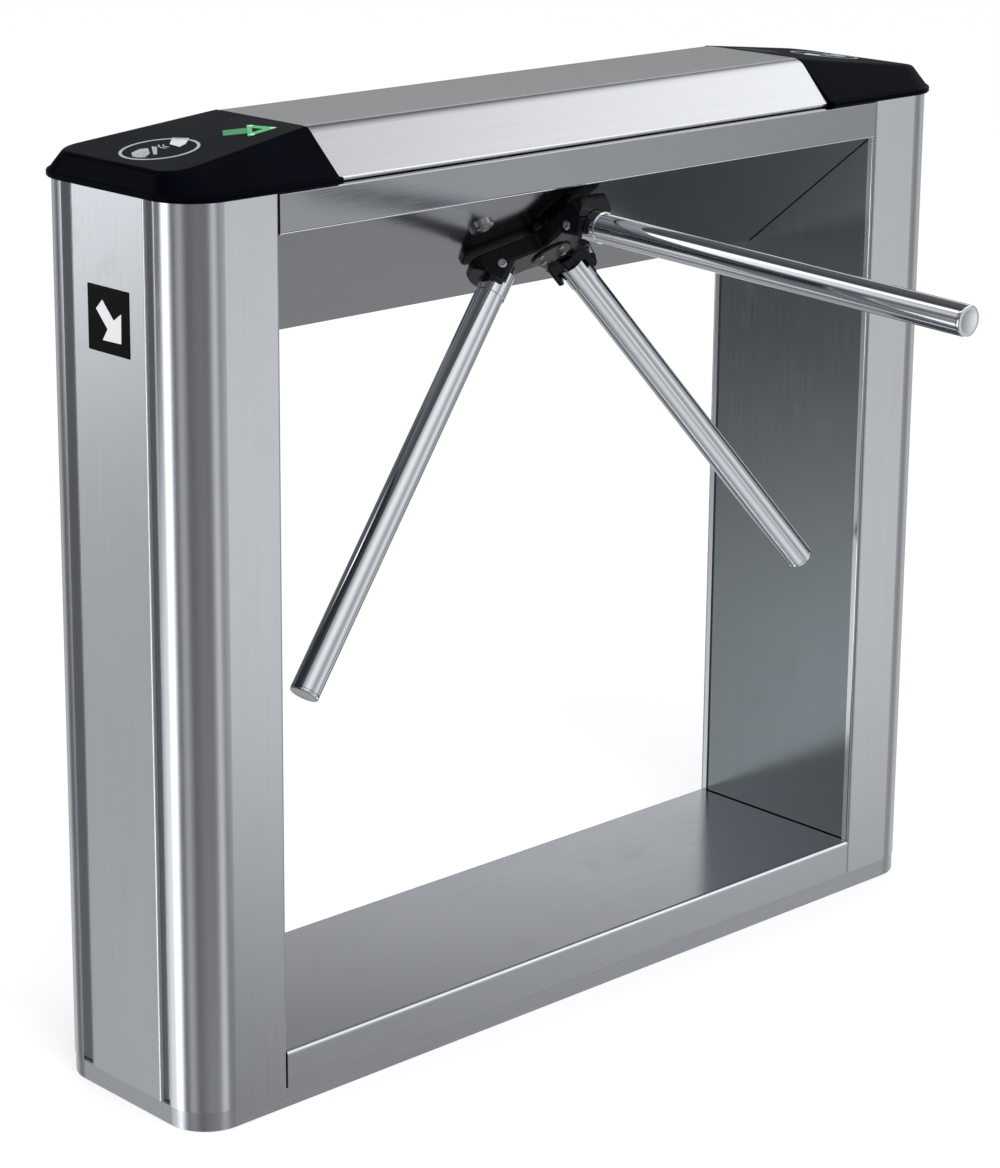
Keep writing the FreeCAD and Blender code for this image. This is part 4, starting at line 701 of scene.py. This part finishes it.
ARROW_WAY, ARROW_SPOT = (-0.79, 0.61), (39.0, 31.0, -0.05)
LAMP_RADIUS, LAMP_RISE = 0.0032, 0.0007
arrow_inks = {"near": (dim_green, lit_green, lamp_green), "far": (off_green, off_green, off_green)}
for end, inks in arrow_inks.items():
    basis = cap_frames[end]
    along = ARROW_WAY[0] * basis[0] + ARROW_WAY[1] * basis[1]
    spot = axes(place(np.array(ARROW_SPOT) * MM, basis), along, basis[2])
    film = plate(end + "_arrow_tail", [tail * MM], PRINT, spot, PRINT_EDGE)
    finish_piece(film, inks[0], "housing", "lens_green")
    outline = ring(head * MM, hollow * MM, PRINT, spot, PRINT_EDGE)
    finish_piece(build(end + "_arrow_head", [outline]), inks[1], "housing", "lens_green")
    bulbs = [dome(spot, lamp * MM, LAMP_RADIUS, LAMP_RISE) for lamp in lamps]
    finish_piece(build(end + "_arrow_lamps", bulbs), inks[2], "housing", "lens_green")

# %% [markdown]
# Each arm ends in a turned plug: a spigot pressed into the tube and a flat head with a rounded rim and a shallow
# dish left by facing it on the lathe. A profile turned about the arm's line gives all of it at once.

# %% End plugs
AXIS_FOOT = np.array([0.0, -0.0315139, 0.8507748])
AXIS_WAY = np.array([0.0, 0.6293204, 0.7771460])
rotor = axes(AXIS_FOOT, (1, 0, 0), AXIS_WAY)
APEX, CONE = 0.0305, math.radians(48.5)
ARM_PHASE = 1.25
ARM_TURNS = np.radians(ARM_PHASE - 90.0 + 120.0 * np.arange(3))
TUBE_END, ARM_END, ARM_RADIUS, BORE_FIT = 592.0, 596.0, 16.0, 13.95
SPIGOT_START, SPIGOT_LEAD, SPIGOT_TIP = 574.0, 574.8, 13.2
RIM, HEAD_GAP, HEAD_CHAMFER, DISH = 1.4, 0.3, 0.5, 0.08
head_foot = TUBE_END + HEAD_GAP
dish_floor = ARM_END - DISH
rim = arc(ARM_RADIUS - RIM, ARM_END - RIM, RIM, RIM, 0, 90, 7)
spigot = [(0, SPIGOT_START), (SPIGOT_TIP, SPIGOT_START), (BORE_FIT, SPIGOT_LEAD), (BORE_FIT, head_foot)]
wall = [(ARM_RADIUS - HEAD_CHAMFER, head_foot), (ARM_RADIUS, head_foot + HEAD_CHAMFER)]
dish = [(11.5, ARM_END), (11.0, dish_floor), (0, dish_floor)]
plug = np.vstack([spigot, wall, rim, dish]) * MM
plugs = []
for turn_angle in ARM_TURNS:
    local = np.array([math.sin(CONE) * math.cos(turn_angle), math.sin(CONE) * math.sin(turn_angle),
                      -math.cos(CONE)])
    arm_frame = axes(place(np.array([0, 0, APEX]), rotor), rotor[2], local @ rotor[:3])
    plugs.append(turned(plug, arm_frame, 72))
finish_piece(build("arm_plugs", plugs), arm_steel, "rotor", "arm_steel", "arm_end_plugs")

# %% [markdown]
# Socket screws hold the arms in the hub's forks, and four small ones hold the hub cover. A socket screw is a
# turned head whose hole is a hexagon: its radius follows 1 / cos of the angle to the nearest flat's middle.


# %% Hub screws
def socket_screw(basis, radius, tall, foot=0.0005):
    """Head of a socket screw: wall, rounded rim and top are circles, the socket's rim and floor hexagons."""
    t = np.linspace(0, 2 * np.pi, 48, endpoint=False)
    hexagon = np.cos(np.pi / 6) / np.cos((t % (np.pi / 3)) - np.pi / 6)
    soft = radius * 0.16
    a = np.radians([0, 30, 60, 90])
    rows = [(0 * t, -foot + 0 * t), (radius + 0 * t, -foot + 0 * t)]
    rows += [(radius - soft + soft * np.cos(k) + 0 * t, tall - soft + soft * np.sin(k) + 0 * t) for k in a]
    mouth, socket = radius * 0.60 * hexagon, radius * 0.55 * hexagon
    rows += [(mouth, tall + 0 * t), (socket, tall - 0.05 * radius + 0 * t),
             (socket, tall * 0.45 + 0 * t), (0 * t, tall * 0.38 + 0 * t)]
    local = np.stack([np.stack([r * np.cos(t), r * np.sin(t), z], axis=-1) for r, z in rows])
    return place(local, basis)


screw_steel = bare_metal("screw_steel", (0.42, 0.43, 0.45, 1), (0.62, 0.63, 0.65, 1), 0.24, 900.0, 0.06)
FORK_OUT, FORK_SIDE, FORK_LEVEL = 62.0, 25.0, -23.4
FORK_SCREW, COVER_SCREW, HINGE_SCREW, TERMINAL_SCREW = (
    (0.0052, 0.0028), (0.0027, 0.0014), (0.0032, 0.0022), (0.0030, 0.0010))
heads = []
for turn_angle in ARM_TURNS:
    outward = np.array([math.cos(turn_angle), math.sin(turn_angle), 0.0])
    sideways = np.array([-math.sin(turn_angle), math.cos(turn_angle), 0.0])
    for side in (-1.0, 1.0):
        middle = (outward * FORK_OUT + sideways * side * FORK_SIDE + np.array([0, 0, FORK_LEVEL])) * MM
        seat = axes(place(middle, rotor), rotor[2], (sideways * side) @ rotor[:3])
        heads.append(socket_screw(seat, *FORK_SCREW))
finish_piece(build("hub_fork_screws", heads), screw_steel, "rotor", "machined_steel")
COVER_FACE, COVER_SCREW_OUT = -27.5, 16.5
heads = []
for turn_angle in np.radians(ARM_PHASE + 90.0 * np.arange(4)):
    across, along = COVER_SCREW_OUT * math.cos(turn_angle), COVER_SCREW_OUT * math.sin(turn_angle)
    middle = np.array([across, along, COVER_FACE]) * MM
    heads.append(socket_screw(axes(place(middle, rotor), rotor[0], -rotor[2]), *COVER_SCREW))
finish_piece(build("hub_cover_screws", heads), screw_steel, "rotor", "machined_steel")

# %% [markdown]
# Under the lid, screws hold the mechanism plate to its stand-offs, the bearing housing and the motor to the
# plate, and the control board to its posts. All places are counted from the rotor's axis, as a fitter would mark
# them out: across, along and height, then the head's radius and height, in millimetres.


# %% Screws under the lid
def on_rotor(x, y, z):
    """Frame on the rotor's axis, moved by millimetres."""
    return axes(place(np.array([x, y, z]) * MM, rotor), rotor[0], rotor[2])


PLATE_TOP, FLANGE_TOP, MOTOR_TOP, BOARD_TOP = 20.0, 28.0, 72.0, 11.6
FLANGE_SCREW_OUT = 40.5
flange_turns = np.radians(np.arange(6) * 60 + 30)
places = [(x, y, PLATE_TOP, 5.0, 4.5) for x in (-155, 155) for y in (-66, 100)]
places += [(FLANGE_SCREW_OUT * math.cos(a), FLANGE_SCREW_OUT * math.sin(a), FLANGE_TOP, 4.0, 4.0)
           for a in flange_turns]
places += [(x, 90.0, MOTOR_TOP, 3.0, 2.6) for x in (-17.3, 17.3)]
places += [(x, y, BOARD_TOP, 3.0, 2.2) for x in (-387, -233) for y in (-47, 47)]
heads = [socket_screw(on_rotor(x, y, z), radius * MM, tall * MM) for x, y, z, radius, tall in places]
finish_piece(build("inner_screws", heads), screw_steel, "housing", "zinc_steel")
HINGE_FACE, HINGE_SCREW_LEVEL = 0.124, 0.936
heads = [socket_screw(axes((x, HINGE_FACE, HINGE_SCREW_LEVEL), (1, 0, 0), (0, 1, 0)), *HINGE_SCREW)
         for x in (-0.270, -0.230, 0.230, 0.270)]
finish_piece(build("hinge_screws", heads), screw_steel, "housing", "zinc_steel")

# %% [markdown]
# The control board carries relays, two rows of terminals and storage capacitors. Each is a rounded block: an
# outline with round corners, lifted, drawn in at the top edge and closed in the middle.


# %% Board fittings
def rounded(length, width, corner, count=6):
    """Rectangle with round corners: four quarter circles in a row."""
    x, y = length / 2 - corner, width / 2 - corner
    return np.vstack([arc(x, y, corner, corner, 0, 90, count), arc(-x, y, corner, corner, 90, 180, count),
                      arc(-x, -y, corner, corner, 180, 270, count), arc(x, -y, corner, corner, 270, 360, count)])


def block(outline, tall, edge, basis):
    """Closed block on an outline: middle of the foot, foot, wall, drawn-in top edge, middle of the top."""
    part = edge * 0.35
    rows = [(outline * 0, 0.0), (outline, 0.0), (outline, tall - edge), (inset(outline, part), tall - part),
            (inset(outline, edge), tall), (outline * 0, tall)]
    return layers(rows, basis)


BOARD_X, BLOCK_SEAT, CAN_SEAT = -310.0, BOARD_TOP - 0.1, BOARD_TOP - 0.05
RELAY_TALL, RELAY_PITCH, BAR_TALL, TERMINAL_PITCH, BLOCK_EDGE = 0.0155, 27.0, 0.0125, 10.0, 0.0008
TERMINAL_ROWS, TERMINAL_TOP = (-48, 48), BOARD_TOP + 12.4
relay_grey = black("relay_grey", (0.05, 0.06, 0.075, 1.0), 0.4, 700.0, 0.05, 1.45)
terminal_green = black("terminal_green", (0.02, 0.11, 0.05, 1.0), 0.42, 700.0, 0.05, 1.45)
sleeve_blue = black("capacitor_sleeve", (0.012, 0.02, 0.06, 1.0), 0.3, 500.0, 0.04, 1.45)
relay = rounded(18.8, 18.8, 1.2) * MM
covers = [block(relay, RELAY_TALL, BLOCK_EDGE, on_rotor(BOARD_X + (i - 1.5) * RELAY_PITCH, 0, BLOCK_SEAT))
          for i in range(4)]
finish_piece(build("relay_covers", covers), relay_grey, "housing", "plastic_black")
bar = rounded(134.8, 14.8, 1.0) * MM
bars = [block(bar, BAR_TALL, BLOCK_EDGE, on_rotor(BOARD_X, y, BLOCK_SEAT)) for y in TERMINAL_ROWS]
finish_piece(build("terminal_bars", bars), terminal_green, "housing", "plastic_black")
heads = [socket_screw(on_rotor(BOARD_X + (i - 6) * TERMINAL_PITCH, y, TERMINAL_TOP), *TERMINAL_SCREW)
         for i in range(13) for y in TERMINAL_ROWS]
finish_piece(build("terminal_screws", heads), screw_steel, "housing", "zinc_steel")
can = np.vstack([[(0, 0), (6.0, 0), (6.0, 1.2), (5.6, 1.8), (6.0, 2.4)], arc(5.0, 17.0, 1.0, 1.0, 0, 90, 5),
                 [(4.4, 18.0), (4.2, 17.7), (0, 17.7)]]) * MM
cans = [turned(can, on_rotor(BOARD_X + x, y, CAN_SEAT), 32) for x in (-66, 66) for y in (-24, 24)]
finish_piece(build("capacitors", cans), sleeve_blue, "housing", "plastic_black")
